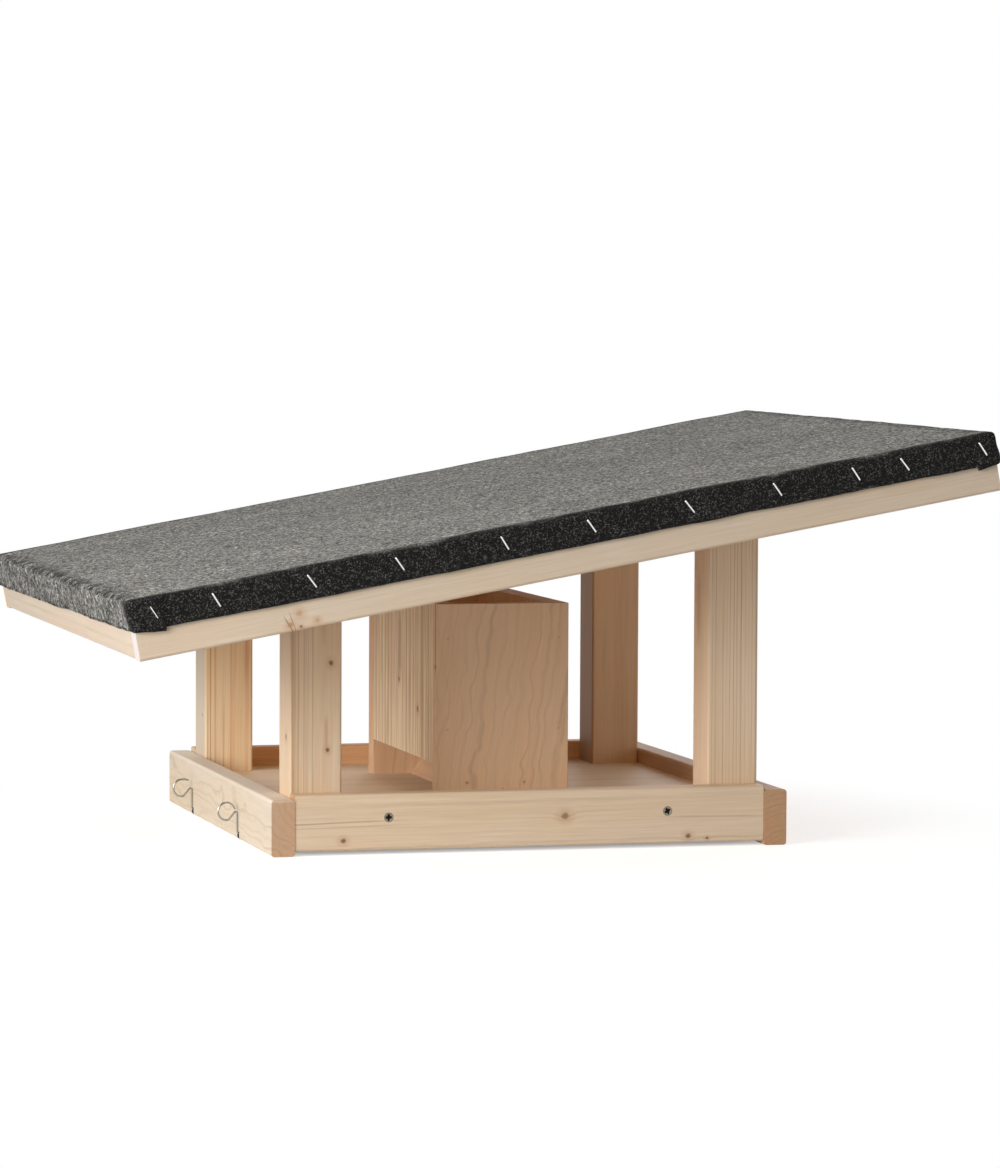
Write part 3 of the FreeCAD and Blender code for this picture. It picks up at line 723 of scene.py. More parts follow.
@dataclass(frozen=True)
class PlatedSteel:
    """Steel wire, a screw or a brad, bright with zinc in clouds a millimetre wide, or under resin."""

    name: str
    tone: str = "#c9cbcd"
    rough: float = 0.35
    bare: float = 1.0  # nought where resin hides the metal
    clouds: Triple = (1.111, 1.111, 1.111)

    def build(self) -> bpy.types.Material:
        """Make the material.

        Returns:
            The finished material.
        """
        work = Finish(self.name)
        clouds = work.patches(work.place, self.clouds, rough=0.5)
        rough = work.add("MapRange", {0: clouds, 3: self.rough - 0.08, 4: self.rough + 0.12})
        return work.close({"Base Color": linear(self.tone), "Metallic": self.bare, "Roughness": rough})


class Woodwork:
    """Pieces that keep their solids and are dressed in spruce."""

    def woods(self) -> dict[str, Spruce]:
        """Name the spruce of each piece's node."""
        raise NotImplementedError

    def dress(self) -> None:
        """Give each piece its wood."""
        for node, wood in self.woods().items():
            wear(node, wood.build())


@dataclass
class Tray(Woodwork):
    """Four boards on edge round a floor panel."""

    left: float = -214.0
    face: float = -213.4
    notch_places: tuple[float, ...] = (-83.5, 108.5)

    def woods(self) -> dict[str, Spruce]:
        """Choose the wood of each board and of the floor.

        Returns:
            Spruce of each node.
        """
        face = self.face
        return {
            "rim_board_front": Spruce(
                "spruce, front tray board", (1, 0.004, 0.01), (0, -165, -90), "#f0d9bd", "#dbc1a4",
                "#f0d5b2", ring=4.4, start=0.4, waver=0.7, jog=3.0, least=0.05, faint=0.08, strip=10.0,
                knots=(Knot((-156, face, 11.6), FRONT, 2.4, "#74492a"),
                       Knot((25.6, face, 27.4), FRONT, 3.4, "#9c7048", 1.4),
                       Knot((128.3, face, 9), FRONT, 2.5, "#7c5230"),
                       Knot((144.2, face, 7), FRONT, 1.4, "#7c5230")),
                streaks=(Streak((-170, face, 26.2), (-0.025, 0, 1), 1.0, "#a58765", 0.55, 70.0),
                         Streak((-160, face, 22.6), (-0.02, 0, 1), 0.8, "#b3936f", 0.4, 60.0),
                         Streak((150, face, 25.0), (0.01, 0, 1), 1.2, "#b99876", 0.4, 50.0),
                         Streak((192.3, face, 0), X_WAY, 0.7, "#5a4330", 0.75))),
            "rim_board_rear": Spruce(
                "spruce, rear tray board", (1, 0.0, 0.01), (0, 260, 80), "#eebf90", "#d5a577", "#eebb88",
                ring=3.4, waver=0.6, sawn="#fffdf8",
                streaks=(Streak((-194.2, 0, 0), X_WAY, 1.6, "#dccab4", 0.9),)),
            "end_board_left": Spruce(
                "spruce, left end board", (0.012, 1, 0.01), (-160, 0, 62), "#e7d7c3", "#d0bda1", "#e6d2b6",
                ring=6.0, start=0.4, waver=7.0, jog=10.0, least=0.3, faint=0.4, fibre=0.06, sawn="#e8cfbd",
                # painted light: the top face made paler, as if lit from above
                streaks=(Streak((0, 0, 46.5), Z_WAY, 3.0, "#fff6e6", 1.0),),
                notches=tuple((self.left, place, 0.0) for place in self.notch_places)),
            "end_board_right": Spruce(
                "spruce, right end board", (0.0, 1, 0.01), (215, 0, -25), "#cba583", "#b78f6c", "#cba07a",
                ring=4.2, jog=3.0, sawn="#fdf8f2"),
            "tray_floor": Spruce(
                "spruce, tray floor", (1, 0.01, 0.0), (0, 40, -90), "#fbe9cf", "#f1d2b3", "#fbe4c4",
                ring=5.0),
        }


@dataclass
class Posts(Woodwork):
    """Four square posts between the floor and the deck, each of its own log."""

    face: float = -194.4
    left: float = -195.0

    def woods(self) -> dict[str, Spruce]:
        """Choose the wood of each post.

        Returns:
            Spruce of each node.
        """
        return {
            "post_front_left": Spruce(
                "spruce, front left post", (0.004, 0.0, 1), (-300, -230, 100), "#e8cfb2", "#d9bea0",
                "#e8cba7", ring=6.5, start=0.6, waver=0.6, jog=1.0, faint=0.1,
                knots=(Knot((-162, self.face, 151.3), FRONT, 2.3, "#6f4526", 1.2),
                       Knot((-164.7, self.face, 82.2), FRONT, 2.0, "#6f4526", 1.2),
                       Knot((self.left, -179, 91.8), LEFT, 2.6, "#7c5230")),
                streaks=(Streak((-190.6, 0, 0), X_WAY, 3.4, "#b48c64", 0.5),
                         Streak((-193.0, 0, 0), X_WAY, 0.8, "#a67a52", 0.45),
                         Streak((-188.0, 0, 0), X_WAY, 1.0, "#a87e58", 0.45),
                         Streak((-183.4, 0, 0), X_WAY, 0.7, "#b58d66", 0.5),
                         Streak((-181.9, 0, 0), X_WAY, 0.6, "#b58d66", 0.35),
                         Streak((-176.2, 0, 0), X_WAY, 0.8, "#9c8a70", 0.45),
                         Streak((-166.0, 0, 195), X_WAY, 3.2, "#c89868", 0.4, 34.0),
                         Streak((-164.8, 0, 95), X_WAY, 2.4, "#c08c60", 0.4, 16.0))),
            "post_front_right": Spruce(
                "spruce, front right post", (0.0, 0.0, 1), (30, -168, 100), "#f1d8bc", "#b8946c",
                "#f1d4b1", ring=3.0, start=0.5, waver=0.4, faint=0.3, strip=11.11, least=0.1,
                streaks=(Streak((0, -162, 190), Y_WAY, 9.0, "#b9805a", 0.4, 34.0),)),
            "post_rear_left": Spruce(
                "spruce, rear left post", (0.02, 0.0, 1), (-190, 120, 100), "#f7ddb8", "#eabb91",
                "#f7d6a8", ring=7.5, start=0.45, waver=0.8, faint=0.1,
                knots=(Knot((self.left, 163.0, 80.1), LEFT, 1.1, "#7c5230", 0.6),),
                # painted shade: a greyer strip over the left face
                streaks=(Streak((-194.5, 0, 0), X_WAY, 1.0, "#cdc3b4", 0.75),
                         Streak((-189.5, 0, 0), X_WAY, 0.9, "#b0784a", 0.65),
                         Streak((-192.0, 0, 60), X_WAY, 0.7, "#b0784a", 0.5, 45.0),
                         Streak((-185.0, 0, 0), X_WAY, 1.6, "#cf9560", 0.5),
                         Streak((-178.0, 0, 40), X_WAY, 1.0, "#c48a5a", 0.45, 60.0),
                         Streak((-171.5, 0, 0), X_WAY, 1.2, "#cf9560", 0.4),
                         Streak((-157.0, 0, 165), X_WAY, 3.4, "#cb8f5c", 0.5, 80.0))),
            "post_rear_right": Spruce(
                "spruce, rear right post", (0.0, 0.0, 1), (150, 60, 100), "#f2cea9", "#e4bf99", "#f2ca9f",
                # painted shade: the left face darkened where the hopper shades it
                ring=6.0, waver=0.6, streaks=(Streak((150.9, 0, 0), X_WAY, 1.8, "#8d6c56", 0.8),)),
        }


@dataclass
class Hopper(Woodwork):
    """Open seed box of four panels over a ridge."""

    left: float = -57.5
    face: float = -123.5

    def woods(self) -> dict[str, Spruce]:
        """Choose the wood of each panel and of the ridge.

        Returns:
            Spruce of each node.
        """
        left = self.left
        return {
            "hopper_panel_front": Spruce(
                "spruce, hopper front", (0.13, 0.0, 1), (-240, -60, 110), "#eacaa9", "#c9a886", "#edc9a3",
                ring=9.5, start=0.55, waver=1.4, jog=20.0, faint=0.3, fibre=0.07,
                knots=(Knot((left, -115.4, 140.5), LEFT, 2.0, "#5d3c22"),
                       Knot((-32.6, self.face, 46.2), FRONT, 1.1, "#a97c56", 0.5),
                       Knot((15.4, self.face, 46.0), FRONT, 1.0, "#a97c56", 0.5)),
                streaks=(Streak((left, -114.6, 171), Y_WAY, 2.6, "#6e4a2c", 0.75, 42.0),)),
            "hopper_panel_left": Spruce(
                "spruce, hopper left side", (0.0, 0.01, 1), (-57, -420, 100), "#f7e0c1", "#ca9972",
                "#f7e7c2", ring=11.0, waver=2.5, least=0.35, faint=0.5, strip=11.11, fibre=0.36,
                knots=(Knot((left, 11.4, 120.8), LEFT, 2.6, "#5d3c22"),
                       Knot((left, -54.6, 101.2), LEFT, 2.8, "#5d3c22")),
                streaks=(Streak((0, 14.0, 150), Y_WAY, 9.0, "#a97850", 0.55, 34.0),
                         Streak((0, 100.0, 0), Y_WAY, 8.0, "#d5a980", 0.4),
                         Streak((0, -66.0, 0), Y_WAY, 6.0, "#c79a72", 0.35),
                         Streak((0, 64.0, 0), Y_WAY, 4.0, "#c2936a", 0.4))),
            "hopper_panel_rear": Spruce(
                "spruce, hopper rear", (0.1, 0.0, 1), (20, 60, 100), "#edc8a4", "#d5ae88", "#edc49a",
                ring=7.0, start=0.6, waver=0.7),
            "hopper_panel_right": Spruce(
                "spruce, hopper right side", (0.0, 0.05, 1), (120, 20, 100), "#f2cfaa", "#d7b088",
                "#f2caa0", ring=7.0, start=0.6),
            "seed_ridge": Spruce(
                "spruce, seed ridge", (0.0, 1, 0.0), (-3, 0, 10), "#ecc7a5", "#d5ae8b", "#ecc39b",
                ring=4.0),
        }


@dataclass
class RoofFrame(Woodwork):
    """Boards on edge round the deck."""

    face: float = -324.0
    sawn: str = "#fffbf8"

    def woods(self) -> dict[str, Spruce]:
        """Choose the wood of each board and of the deck.

        Returns:
            Spruce of each node.
        """
        face = self.face
        return {
            "roof_board_front": Spruce(
                "spruce, front roof board", UP_SLOPE, (0, -180, 250), "#e9d6bf", "#dac4ab", "#ead1b3",
                ring=5.2, start=0.5, waver=0.8, jog=3.0, faint=0.15, sawn=self.sawn,
                # A cracked knot over the front left post
                knots=(Knot((-214.6, face, 189.9), FRONT, 1.3, "#7c5230"),
                       Knot((-223.0, face, 191.0), FRONT, 2.4, "#b98f66", 1.5),
                       Knot((-216.0, face, 200.0), FRONT, 2.8, "#cfa877", 1.5),
                       Knot((-201.8, face, 194.6), FRONT, 1.8, "#cfa877", 1.5)),
                streaks=(Streak((-222.4, face, 189.6), (7.4, 0, 4.8), 0.8, "#5d3c22", 0.85, 4.5),
                         Streak((-218.8, face, 188.4), (7.4, 0, 3.0), 0.6, "#5d3c22", 0.75, 3.5),
                         Streak((-214.0, face, 193.0), (-0.18, 0, 1), 14.0, "#ddb490", 0.4, 26.0),
                         Streak(tuple(roof_point(0.4, 0.0, 0.0)), UP_SLOPE, 0.8, "#e9e1e3", 0.9))),
            "roof_board_rear": Spruce(
                "spruce, rear roof board", UP_SLOPE, (0, 290, 200), "#e5ceb1", "#cfb28e", "#e6c9a6",
                ring=3.8, sawn=self.sawn),
            "roof_board_left": Spruce(
                "spruce, left roof board", (0.0, 1, 0.004), (-240, 0, 120), "#dccbb6", "#cebaa1",
                "#dfc5ac", ring=4.6, start=0.5, waver=0.6, fibre=0.06),
            "roof_board_right": Spruce(
                "spruce, right roof board", (0.0, 1, 0.0), (290, 0, 330), "#e1cbb0", "#cdb08c", "#e1c7a6",
                ring=3.4),
            "roof_deck": Spruce(
                "spruce, roof deck", UP_SLOPE, (0, 30, 120), "#d6b48d", "#c19a6f", "#e3c3a0", ring=6.0),
        }


@dataclass
class FeltCover:
    """One sheet of felt over the deck, turned down on all sides, its corners folded to the front."""

    half: float = 324.0  # half the roof's depth
    top: float = 47.6  # upper face above the roof boards' lower edge
    proud: float = 2.6  # turn-down's face out from the roof boards
    bend: float = 4.4  # radius of the turned edge
    hem: float = 22.0  # hem above the roof boards' lower edge
    thick: float = 2.2
    flap: float = 22.0  # width of the corner folds at the low end
    high_flap: float = 15.5  # and at the high end
    drop: float = 3.1  # outer end of a corner fold below the hem
    slope: float = 2.0  # hem at the roof's ends, this much lower at the back and higher at the front
    lift: float = 1.3  # front and rear hems higher at the low end
    lift_reach: float = 60.0
    flat: tuple[float, float] = (753.0, 699.0)
    pitch: float = 6.0  # distance between rows of corners
    fold_edge: float = 0.4  # half the distance of the two rows where a corner fold ends
    least_gap: float = 2.0  # between such a row and the next
    falls: int = 11  # rows down the turn-down
    curve: int = 4  # how many of them round the bend
    corner_turns: tuple[float, ...] = (18.0, 36.0, 54.0, 72.0)
    waves: tuple[Four, ...] = ((0.55, 85.0, 110.0, 3.0), (0.22, 21.0, 24.0, 8.0))
    crumples: tuple[Four, ...] = ((1.0, 30.0, 18.0, 0.0), (0.35, 12.0, 9.0, 2.0))
    crumple: tuple[float, float] = (1.0, 2.2)  # how far the ends stand off, evenly and crumpled
    bulge: tuple[float, float] = (0.55, 0.9)  # how far front and rear stand off, evenly and in waves
    hem_waves: tuple[float, float] = (0.7, 34.0)  # height and length
    hem_ripples: tuple[float, float] = (0.35, 9.0)
    hold: float = 13.0  # reach of a staple's pull
    fold_layer: float = 0.8  # how far a corner fold stands off front and rear
    flat_reach: float = 12.0  # depth at which the waves of the flat are gone
    crease_lean: float = 0.35
    crease_top: Triple = (0.35, 16.0, 11.0)  # on the flat: share of their depth, length and width
    crease_fall: tuple[float, float] = (6.0, 15.0)  # on the turn-down: width and length
    creases: tuple[tuple[float, float], ...] = (
        (290.0, 2.2), (262.0, 2.6), (214.0, 3.0), (150.0, 3.2), (96.0, 1.6), (-10.0, 2.6), (-88.0, 1.4),
        (-205.0, 3.0), (-268.0, 1.8))  # place behind the middle and depth, at the low and high end

    def dress(self) -> None:
        points, faces = self.shape()
        sheet = make_piece("felt_cover", points, faces, MineralFelt("mineral bitumen felt").build())
        depth = sheet.modifiers.new("thickness", "SOLIDIFY")
        depth.thickness = self.thick * MM
        depth.offset = -1.0
        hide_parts("roof_felt")
        LOG.info("felt cover: %d corners", len(points))

    def lines(self, low: float, high: float) -> list[float]:
        """Places of the sheet's rows of corners, closer at the ends of the corner folds.

        Args:
            low: First place.
            high: Last place.

        Returns:
            All places in order.
        """
        count = round((high - low) / self.pitch)
        even = [low + (high - low) * number / count for number in range(count + 1)]
        folds = [edge + side for edge in (low + self.flap, high - self.high_flap)
                 for side in (-self.fold_edge, self.fold_edge)]
        spare = [place for place in even if min(abs(place - fold) for fold in folds) > self.least_gap]
        return sorted(spare + folds)

    def shape(self) -> tuple[list[Vector], list[Face]]:
        """Work out the sheet's outer face.

        Returns:
            Its corners in millimetres and its faces.
        """
        inset = self.bend - self.proud
        runs = self.lines(inset, ROOF_LENGTH - inset)
        deeps = self.lines(inset - self.half, self.half - inset)
        points = [roof_point(a, b, self.top + self.sag(a, b)) for a in runs for b in deeps]
        rows, wide = len(deeps), len(runs)
        faces: list[Face] = [
            (i * rows + j, (i + 1) * rows + j, (i + 1) * rows + j + 1, i * rows + j + 1)
            for i in range(wide - 1) for j in range(rows - 1)]
        front = [(i * rows, a, deeps[0]) for i, a in enumerate(runs)]
        right = [((wide - 1) * rows + j, runs[-1], b) for j, b in enumerate(deeps)]
        rear = [(i * rows + rows - 1, a, deeps[-1]) for i, a in reversed(list(enumerate(runs)))]
        left = [(j, runs[0], b) for j, b in reversed(list(enumerate(deeps)))]
        columns: list[tuple[int, float, float, float]] = []
        for side, facing in ((front, 270.0), (right, 360.0), (rear, 450.0), (left, 540.0)):
            columns += [(start, a, b, facing) for start, a, b in side]
            start, a, b = side[-1]
            columns += [(start, a, b, facing + turn) for turn in self.corner_turns]
        above = [column[0] for column in columns]
        for number in range(1, self.falls + 1):
            base = len(points)
            points += [self.turned_down(a, b, facing, number) for _, a, b, facing in columns]
            below = list(range(base, base + len(columns)))
            for here, there in zip(range(len(columns)), [*range(1, len(columns)), 0]):
                ring = (above[here], below[here], below[there], above[there])
                faces.append(ring if above[here] != above[there] else ring[:3])
            above = below
        return points, faces

    def sag(self, along: float, deep: float) -> float:
        """Height of the flat's waves at a place, with the creases' ends at the low edge.

        Args:
            along: Distance up the slope.
            deep: Distance behind the middle.

        Returns:
            The height above the even sheet.
        """
        wave = layered(self.waves, along, deep)
        share, long, wide = self.crease_top
        for place, depth in self.creases:
            wave -= share * depth * bell(along, long) * bell(deep - place, wide)
        return wave

    def turned_down(self, along: float, deep: float, facing: float, number: int) -> Vector:
        """Place of a corner on the turned-down edge.

        Args:
            along: Distance up the slope of the column's top.
            deep: Distance behind the middle of the column's top.
            facing: Direction the column faces, in degrees from up the slope.
            number: Its row, counted from the flat.

        Returns:
            The place in the frame.
        """
        outward = Vector((math.cos(math.radians(facing)), math.sin(math.radians(facing))))
        fore = abs(outward.y) ** 2
        place = along if fore > 0.5 else deep
        seed = 5.0 + facing // 90 * 3
        ends = ((along, self.flap), (ROOF_LENGTH - along, self.high_flap))
        near, reach = min((near, flap + self.bend - self.proud) for near, flap in ends)
        fold = near < reach
        wave = noise.noise(Vector((place / self.hem_waves[1], seed, 1.0)))
        ripple = noise.noise(Vector((place / self.hem_ripples[1], seed, 4.0)))
        tall = self.top - self.hem + self.hem_waves[0] * wave + self.hem_ripples[0] * ripple
        tall -= self.lift * fore * bell(along, self.lift_reach)
        tall += self.slope * deep / self.half * (1 - fore)
        if fold and fore > 0.1:
            tall += self.drop * (0.15 + 0.85 * near / reach) * min(1.0, fore * 1.5)
        if number <= self.curve:
            turn = math.pi / 2 * number / self.curve
            out, down = self.bend * math.sin(turn), self.bend * (1 - math.cos(turn))
        else:
            out = self.bend
            down = self.bend + (tall - self.bend) * (number - self.curve) / (self.falls - self.curve)
        share = min(1.0, number / self.curve)
        if fore > 0.5:
            held = min(abs(along - spot) for spot in STAPLE_SPOTS)
            out += share * (1 - bell(held, self.hold)) * (self.bulge[0] + self.bulge[1] * wave)
            out += share * self.fold_layer * float(fold)
        else:
            out += share * (self.crumple[0] + self.crumple[1] * layered(self.crumples, deep, down, seed))
            wide, long = self.crease_fall
            for spot, depth in self.creases:
                aside = deep - spot - self.crease_lean * down
                out -= share * depth * bell(aside, wide) * bell(down, long)
            out = max(out, share * (self.bend - self.thick))
        height = self.top - down + self.sag(along, deep) * max(0.0, 1 - down / self.flat_reach)
        return roof_point(along + outward.x * out, deep + outward.y * out, height)


@dataclass
class Staples:
    """Broad wire staples that hold the felt's front and rear turn-downs."""

    crown: float = 12.0
    leg: float = 8.0
    bend: float = 0.9
    width: float = 1.3
    thick: float = 0.7
    height: float = 35.5
    face: float = 326.6
    flap: float = 1.3  # how far a corner fold lifts a staple
    flap_reach: float = 24.0  # how far from the roof's ends it does
    buried: float = 1.07  # how far the first staple is driven into the felt

    def dress(self) -> None:
        """Build both rows."""
        zinc = PlatedSteel("galvanised staple wire", "#e9e9e7", 0.42).build()
        for name, side in (("front", -1.0), ("rear", 1.0)):
            points: list[Vector] = []
            faces: list[Face] = []
            for spot, slant in zip(STAPLE_SPOTS, STAPLE_SLANTS):
                more, skin = sweep(*self.staple(spot, slant, side), start=len(points))
                points += more
                faces += skin
            row = make_piece("staples_" + name, points, faces, zinc)
            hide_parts("felt_staples_" + name)
            LOG.info("%s: %d staples", row.name, len(STAPLE_SPOTS))

    def staple(self, spot: float, slant: float,
               side: float) -> tuple[list[Vector], list[tuple[float, float]], Vector]:
        """Path, section and plane of one staple.

        Args:
            spot: Place along the slope.
            slant: Its lean in degrees.
            side: Minus one on the front, one on the rear.

        Returns:
            Path, section and direction square to the path.
        """
        lean = math.radians(slant) + ROOF_TILT
        above = self.flap if min(spot, ROOF_LENGTH - spot) < self.flap_reach else 0.0
        above -= self.buried if spot == STAPLE_SPOTS[0] else 0.0
        middle = roof_point(spot, side * (self.face + above + self.thick / 2), self.height)
        along = Vector((-math.sin(lean), 0.0, math.cos(lean)))
        inward = Vector((0.0, -side, 0.0))
        ends = [middle + along * reach for reach in (-self.crown / 2, self.crown / 2)]
        corners = [ends[0] + inward * self.leg, *ends, ends[1] + inward * self.leg]
        path = rounded_path(corners, (self.bend, self.bend), 4)
        return path, oval(self.width, self.thick, 8), along.cross(inward)


@dataclass
class RimScrews:
    """Countersunk screws with a cross recess, two in the front rim board and two in the rear."""

    places: tuple[float, ...] = (-119.0, 111.0)
    face: float = 213.4
    height: float = 29.5
    head: float = 4.0  # radius of the head
    edge: tuple[float, float] = (0.15, 0.6)  # the head's rim, from and to this depth
    neck: float = 2.9  # depth at which the head's cone ends
    shank: float = 1.75  # radius of the shank
    length: float = 45.0
    point: float = 4.0  # length of the point
    tip: float = 0.4  # radius of its end
    sides: int = 40
    well: float = 1.7  # depth of the recess
    arm: float = 0.55  # half the width of an arm of the cross
    taper: float = 0.45  # width of an arm's sloping wall
    arm_end: tuple[float, float, float] = (2.0, 2.5, 2.7)  # radii: floor ends, wall ends, wall would end
    face_rings: tuple[float, ...] = (0.3, 0.6, 0.9, 1.2, 1.5, 1.8, 2.1, 2.4, 2.8, 3.3, 3.8)
    twist: float = 0.5  # turn of the right screw's recess against the left one's
    recess_shade_depths: tuple[float, float] = (0.35, 1.9)  # depths between which faces are painted dark as shade in the recess
    recess_shade_face: float = 0.6  # faces painted as shade are smaller than this, which leaves out the cone

    def dress(self) -> None:
        """Build the screws as one piece, as they are in the frame."""
        points: list[Vector] = []
        faces: list[Face] = []
        for side in (-1.0, 1.0):
            for number, place in enumerate(self.places):
                middle = Vector((place, side * self.face, self.height))
                self.add_screw(points, faces, middle, side, number * self.twist)
        steel = PlatedSteel("zinc-plated screw steel", "#8b8072", 0.35).build()
        screws = make_piece("rim_board_screws", points, faces, steel)
        # painted shade: the recess's small deep faces take a near-black steel
        screws.data.materials.append(PlatedSteel("painted shade of screw recess", "#2a2927", 0.6).build())
        for face in screws.data.polygons:
            deep = self.face - abs(face.center.y) / MM
            small = face.area / MM ** 2 < self.recess_shade_face
            face.material_index = int(self.recess_shade_depths[0] < deep < self.recess_shade_depths[1] and small)
        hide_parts("rim_screws")
        LOG.info("%s: %d corners", screws.name, len(points))

    def add_screw(self, points: list[Vector], faces: list[Face], place: Vector, side: float,
                  twist: float) -> None:
        """Add one screw to the mesh.

        Args:
            points: The mesh's corners.
            faces: Its faces.
            place: Middle of the head's face.
            side: Minus one where the head faces the front, one where it faces the rear.
            twist: Turn of the recess.
        """
        rings: list[tuple[float, float | None]] = [(radius, None) for radius in self.face_rings]
        rings += [(self.head, depth) for depth in self.edge]
        rings += [(self.shank, self.neck), (self.shank, self.length - self.point), (self.tip, self.length)]
        base = len(points)
        points.append(place - Vector((0, side * self.well, 0)))
        for radius, depth in rings:
            for step in range(self.sides):
                turn = 2 * math.pi * step / self.sides
                deep = self.recess(radius, turn - twist) if depth is None else depth
                away = Vector((radius * math.cos(turn), -side * deep, radius * math.sin(turn)))
                points.append(place + away)
        for number in range(len(rings)):
            low = base + 1 + (number - 1) * self.sides
            for step in range(self.sides):
                there = (step + 1) % self.sides
                if number:
                    ring = (low + step, low + self.sides + step, low + self.sides + there, low + there)
                else:
                    ring = (base, base + 1 + step, base + 1 + there)
                faces.append(ring if side < 0 else ring[::-1])
        tip = tuple(len(points) - self.sides + step for step in range(self.sides))
        faces.append(tip[::-1] if side < 0 else tip)

    def recess(self, radius: float, turn: float) -> float:
        """Depth of the head's face, sunk in a tapering cross.

        Args:
            radius: Distance from the middle.
            turn: Angle from one arm of the cross.

        Returns:
            The depth.
        """
        floor, wall, end = self.arm_end
        if radius >= wall:
            return 0.0
        aside = min(abs(radius * math.cos(turn)), abs(radius * math.sin(turn)))
        inside = max(0.0, 1.0 - max(0.0, aside - self.arm) / self.taper)
        return self.well * inside * min(1.0, (end - radius) / (end - floor))


@dataclass
class FatBallHooks:
    """Two hooks of one bent wire each, through notches in the left end board's lower edge."""

    places: tuple[tuple[str, float], ...] = (("front", -83.5), ("rear", 108.5))
    wire: float = 1.6
    legs: tuple[tuple[float, float], ...] = (  # x and z of the inner end and the bends
        (-194.15, 13.0), (-194.15, 5.2), (-214.85, 5.2), (-214.85, 24.8), (-222.6, 15.7), (-230.7, 15.7),
        (-230.7, 30.3), (-219.6, 30.3))
    radii: tuple[float, ...] = (1.6, 1.6, 1.3, 1.5, 7.3, 7.3, 7.3)
    tips: tuple[tuple[float, float], ...] = ((-216.9, 24.9), (-218.4, 29.6))  # of the front and rear loop

    def dress(self) -> None:
        """Build both hooks."""
        steel = PlatedSteel("galvanised wire", "#a4a4a0", 0.18).build()
        for (name, deep), tip in zip(self.places, self.tips):
            corners = [Vector((x, deep, z)) for x, z in (*self.legs, tip)]
            points, faces = sweep(rounded_path(corners, self.radii), oval(self.wire, self.wire),
                                  Vector(Y_WAY))
            hook = make_piece("hook_wire_" + name, points, faces, steel)
            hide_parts("fat_ball_hook_" + name)
            LOG.info("%s: %d corners", hook.name, len(points))


@dataclass
class Fixings:
    """Screws, brads and staples that keep their solids.

    The ends of the brads can't be seen in the photograph, so their resin takes the wood's tone.
    """

    steels: tuple[tuple[PlatedSteel, tuple[str, ...]], ...] = (
        (PlatedSteel("zinc-plated steel"),
         ("post_floor_screws", "post_deck_screws", "hopper_floor_screws", "hook_staples")),
        (PlatedSteel("resin-coated brad steel", "#dfcab0", 0.6, 0.0),
         ("end_board_brads", "roof_frame_brads")),
        (PlatedSteel("amber resin-coated brad steel", "#cfa885", 0.6, 0.0), ("hopper_brads",)))

    def dress(self) -> None:
        """Give the steel its plating or resin."""
        for steel, nodes in self.steels:
            material = steel.build()
            for node in nodes:
                wear(node, material)


@dataclass(frozen=True)
class Softbox:
    """Rectangular lamp that faces a point."""

    name: str
    place: Triple
    target: Triple
    panel: tuple[float, float]  # width and height
    power: float  # in watts

    def hang(self) -> None:
        """Hang the lamp."""
        data = bpy.data.lights.new(self.name, "AREA")
        data.shape = "RECTANGLE"
        data.size, data.size_y = self.panel[0] * MM, self.panel[1] * MM
        data.energy = self.power
        lamp = bpy.data.objects.new(self.name, data)
        lamp.location = Vector(self.place) * MM
        lamp.rotation_euler = (Vector(self.place) - Vector(self.target)).to_track_quat("Z", "Y").to_euler()
        bpy.context.scene.collection.objects.link(lamp)


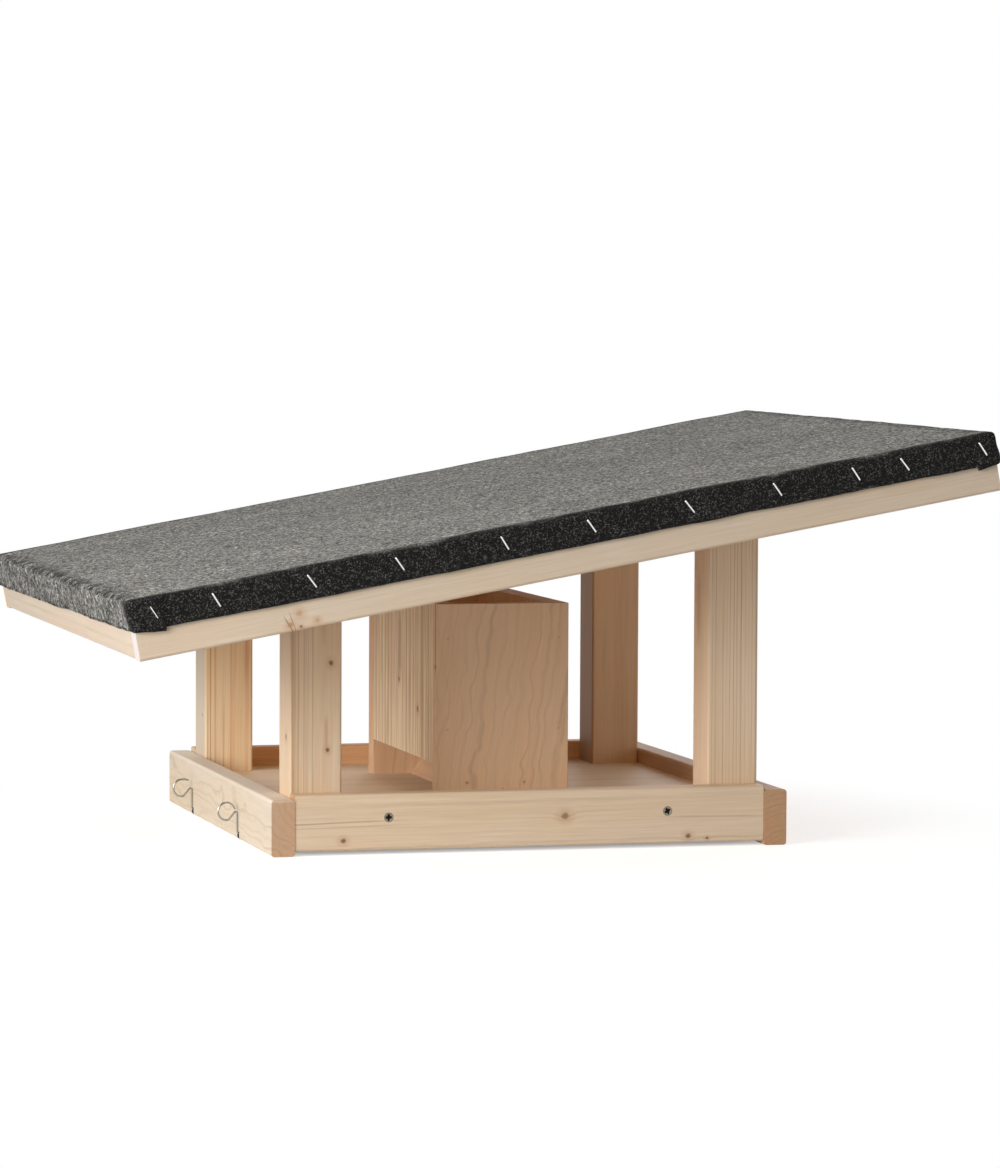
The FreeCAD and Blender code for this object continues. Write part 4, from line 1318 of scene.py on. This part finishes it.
@dataclass
class Studio:
    """Pale floor, soft light and the camera."""

    eye: Triple = (-1028.4, -4057.4, 455.8)
    yaw: float = 14.574
    pitch: float = 3.488
    roll: float = 0.265
    focal: float = 5010.9  # in pixels of the picture
    picture: tuple[int, int] = (1000, 1168)
    sensor: float = 36.0
    farthest: float = 100000.0
    floor_size: float = 60000.0
    floor_gap: float = 0.2  # below the object, so that no two faces fight
    floor_paint: str = "#f4f4f3"
    floor_lift: float = 0.62  # glow that the eye sees on the open floor
    shadow_footprint: Triple = (213.0, 214.0, 0.0)  # half the tray's size, inside which the floor's glow sinks as painted shadow
    shade: float = 30.0  # painted contact shadow: under the tray the glow sinks to half over this distance
    fade: tuple[float, float] = (240.0, 500.0)  # from and to this distance the floor turns white
    sky: Four = (0.99, 0.99, 1.0, 1.0)
    sky_power: float = 0.15
    lamps: tuple[Softbox, ...] = (
        Softbox("left softbox", (-2200, -1370, 900), (-50, 0, 100), (1600, 900), 44.0),
        Softbox("low left softbox", (-2290, -1430, 235), (-50, 0, 100), (1600, 470), 13.3),
        Softbox("right softbox", (2400, -1500, 400), (0, 0, 100), (1600, 800), 5.7),
        Softbox("rear softbox", (1700, 2200, 800), (0, 0, 100), (2400, 1000), 20.0))

    def build(self) -> None:
        """Set up everything that isn't part of the object."""
        self.set_camera()
        self.lay_floor()
        self.set_world()
        for lamp in self.lamps:
            lamp.hang()
        bpy.context.scene.view_settings.view_transform = "Standard"

    def set_camera(self) -> None:
        """Stand the camera where the photograph was taken."""
        data = bpy.data.cameras.new("camera")
        data.sensor_width = self.sensor
        data.sensor_fit = "AUTO"
        data.lens = self.focal / max(self.picture) * data.sensor_width
        data.clip_end = self.farthest * MM
        camera = bpy.data.objects.new("camera", data)
        bpy.context.scene.collection.objects.link(camera)
        yaw, pitch, roll = (math.radians(angle) for angle in (self.yaw, self.pitch, self.roll))
        ahead = Vector((math.sin(yaw) * math.cos(pitch), math.cos(yaw) * math.cos(pitch), -math.sin(pitch)))
        level = Vector((math.cos(yaw), -math.sin(yaw), 0.0))
        upward = level.cross(ahead)
        side = level * math.cos(roll) + upward * math.sin(roll)
        top = upward * math.cos(roll) - level * math.sin(roll)
        turn = Matrix((side, top, -ahead)).transposed().to_4x4()
        camera.matrix_world = Matrix.Translation(Vector(self.eye) * MM) @ turn
        bpy.context.scene.camera = camera

    def lay_floor(self) -> None:
        """Lay a wide pale floor that keeps the object's shadow, sinks its glow under the tray as painted
        shadow and turns white further out.
        """
        paint = Finish("white cove paint")
        shader = paint.add("BsdfPrincipled", {
            "Base Color": linear(self.floor_paint), "Roughness": 0.9, "Specular IOR Level": 0.1})
        seen = paint.seen_by_eye_or_gloss()
        spot = paint.add("VectorMath", {0: paint.place}, operation="ABSOLUTE")
        past = paint.add("VectorMath", {
            0: spot, 1: self.shadow_footprint}, operation="SUBTRACT")
        split = paint.add("SeparateXYZ", {0: past}).outputs
        most = paint.add("Math", {0: split[0], 1: split[1]}, operation="MAXIMUM")
        # painted shadow: the glow that the eye sees sinks under the tray
        strength = paint.tuned(seen, (
            (most, (-self.shade, 0.0, self.floor_lift * 0.5, self.floor_lift)),))
        glow = paint.add("Emission", {"Strength": strength})
        lifted = paint.add("AddShader", {0: shader, 1: glow})
        far = paint.add("VectorMath", {0: paint.place}, operation="LENGTH")
        whiter = paint.add("MapRange", {
            0: far.outputs["Value"], 1: self.fade[0], 2: self.fade[1], 3: 0.0, 4: 1.0},
            interpolation_type="SMOOTHSTEP")
        share = paint.add("Math", {0: whiter, 1: seen}, operation="MULTIPLY")
        white = paint.add("Emission", {"Strength": 1.0})
        both = paint.add("MixShader", {
            0: share, 1: lifted, 2: white})
        paint.add("OutputMaterial", {"Surface": both})
        mesh = bpy.data.meshes.new("floor")
        reach = self.floor_size / 2 * MM
        mesh.from_pydata([(-reach, -reach, 0), (reach, -reach, 0), (reach, reach, 0), (-reach, reach, 0)],
                         [], [(0, 1, 2, 3)])
        mesh.materials.append(paint.material)
        floor = bpy.data.objects.new("floor", mesh)
        floor.location.z = -self.floor_gap * MM
        bpy.context.scene.collection.objects.link(floor)

    def set_world(self) -> None:
        """Give the room an even pale light, and a white background to the eye and to metal."""
        world = bpy.data.worlds.new("white room")
        bpy.context.scene.world = world
        world.use_nodes = True
        room = Nodes(world.node_tree)
        seen = room.seen_by_eye_or_gloss()
        lit = room.add("Background", {"Color": self.sky, "Strength": self.sky_power})
        white = room.add("Background", {"Color": (1.0, 1.0, 1.0, 1.0), "Strength": 1.0})
        both = room.add("MixShader", {0: seen, 1: lit, 2: white})
        room.add("OutputWorld", {"Surface": both})


def main() -> None:
    """Build and dress the bird table in its studio."""
    logging.basicConfig(level=logging.INFO, format="%(message)s")
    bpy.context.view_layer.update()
    Studio().build()
    for part in (Tray(), Posts(), Hopper(), RoofFrame(), FeltCover(), Staples(), RimScrews(),
                 FatBallHooks(), Fixings()):
        LOG.info("dressing the %s", type(part).__name__)
        part.dress()


if __name__ == "__main__":
    main()
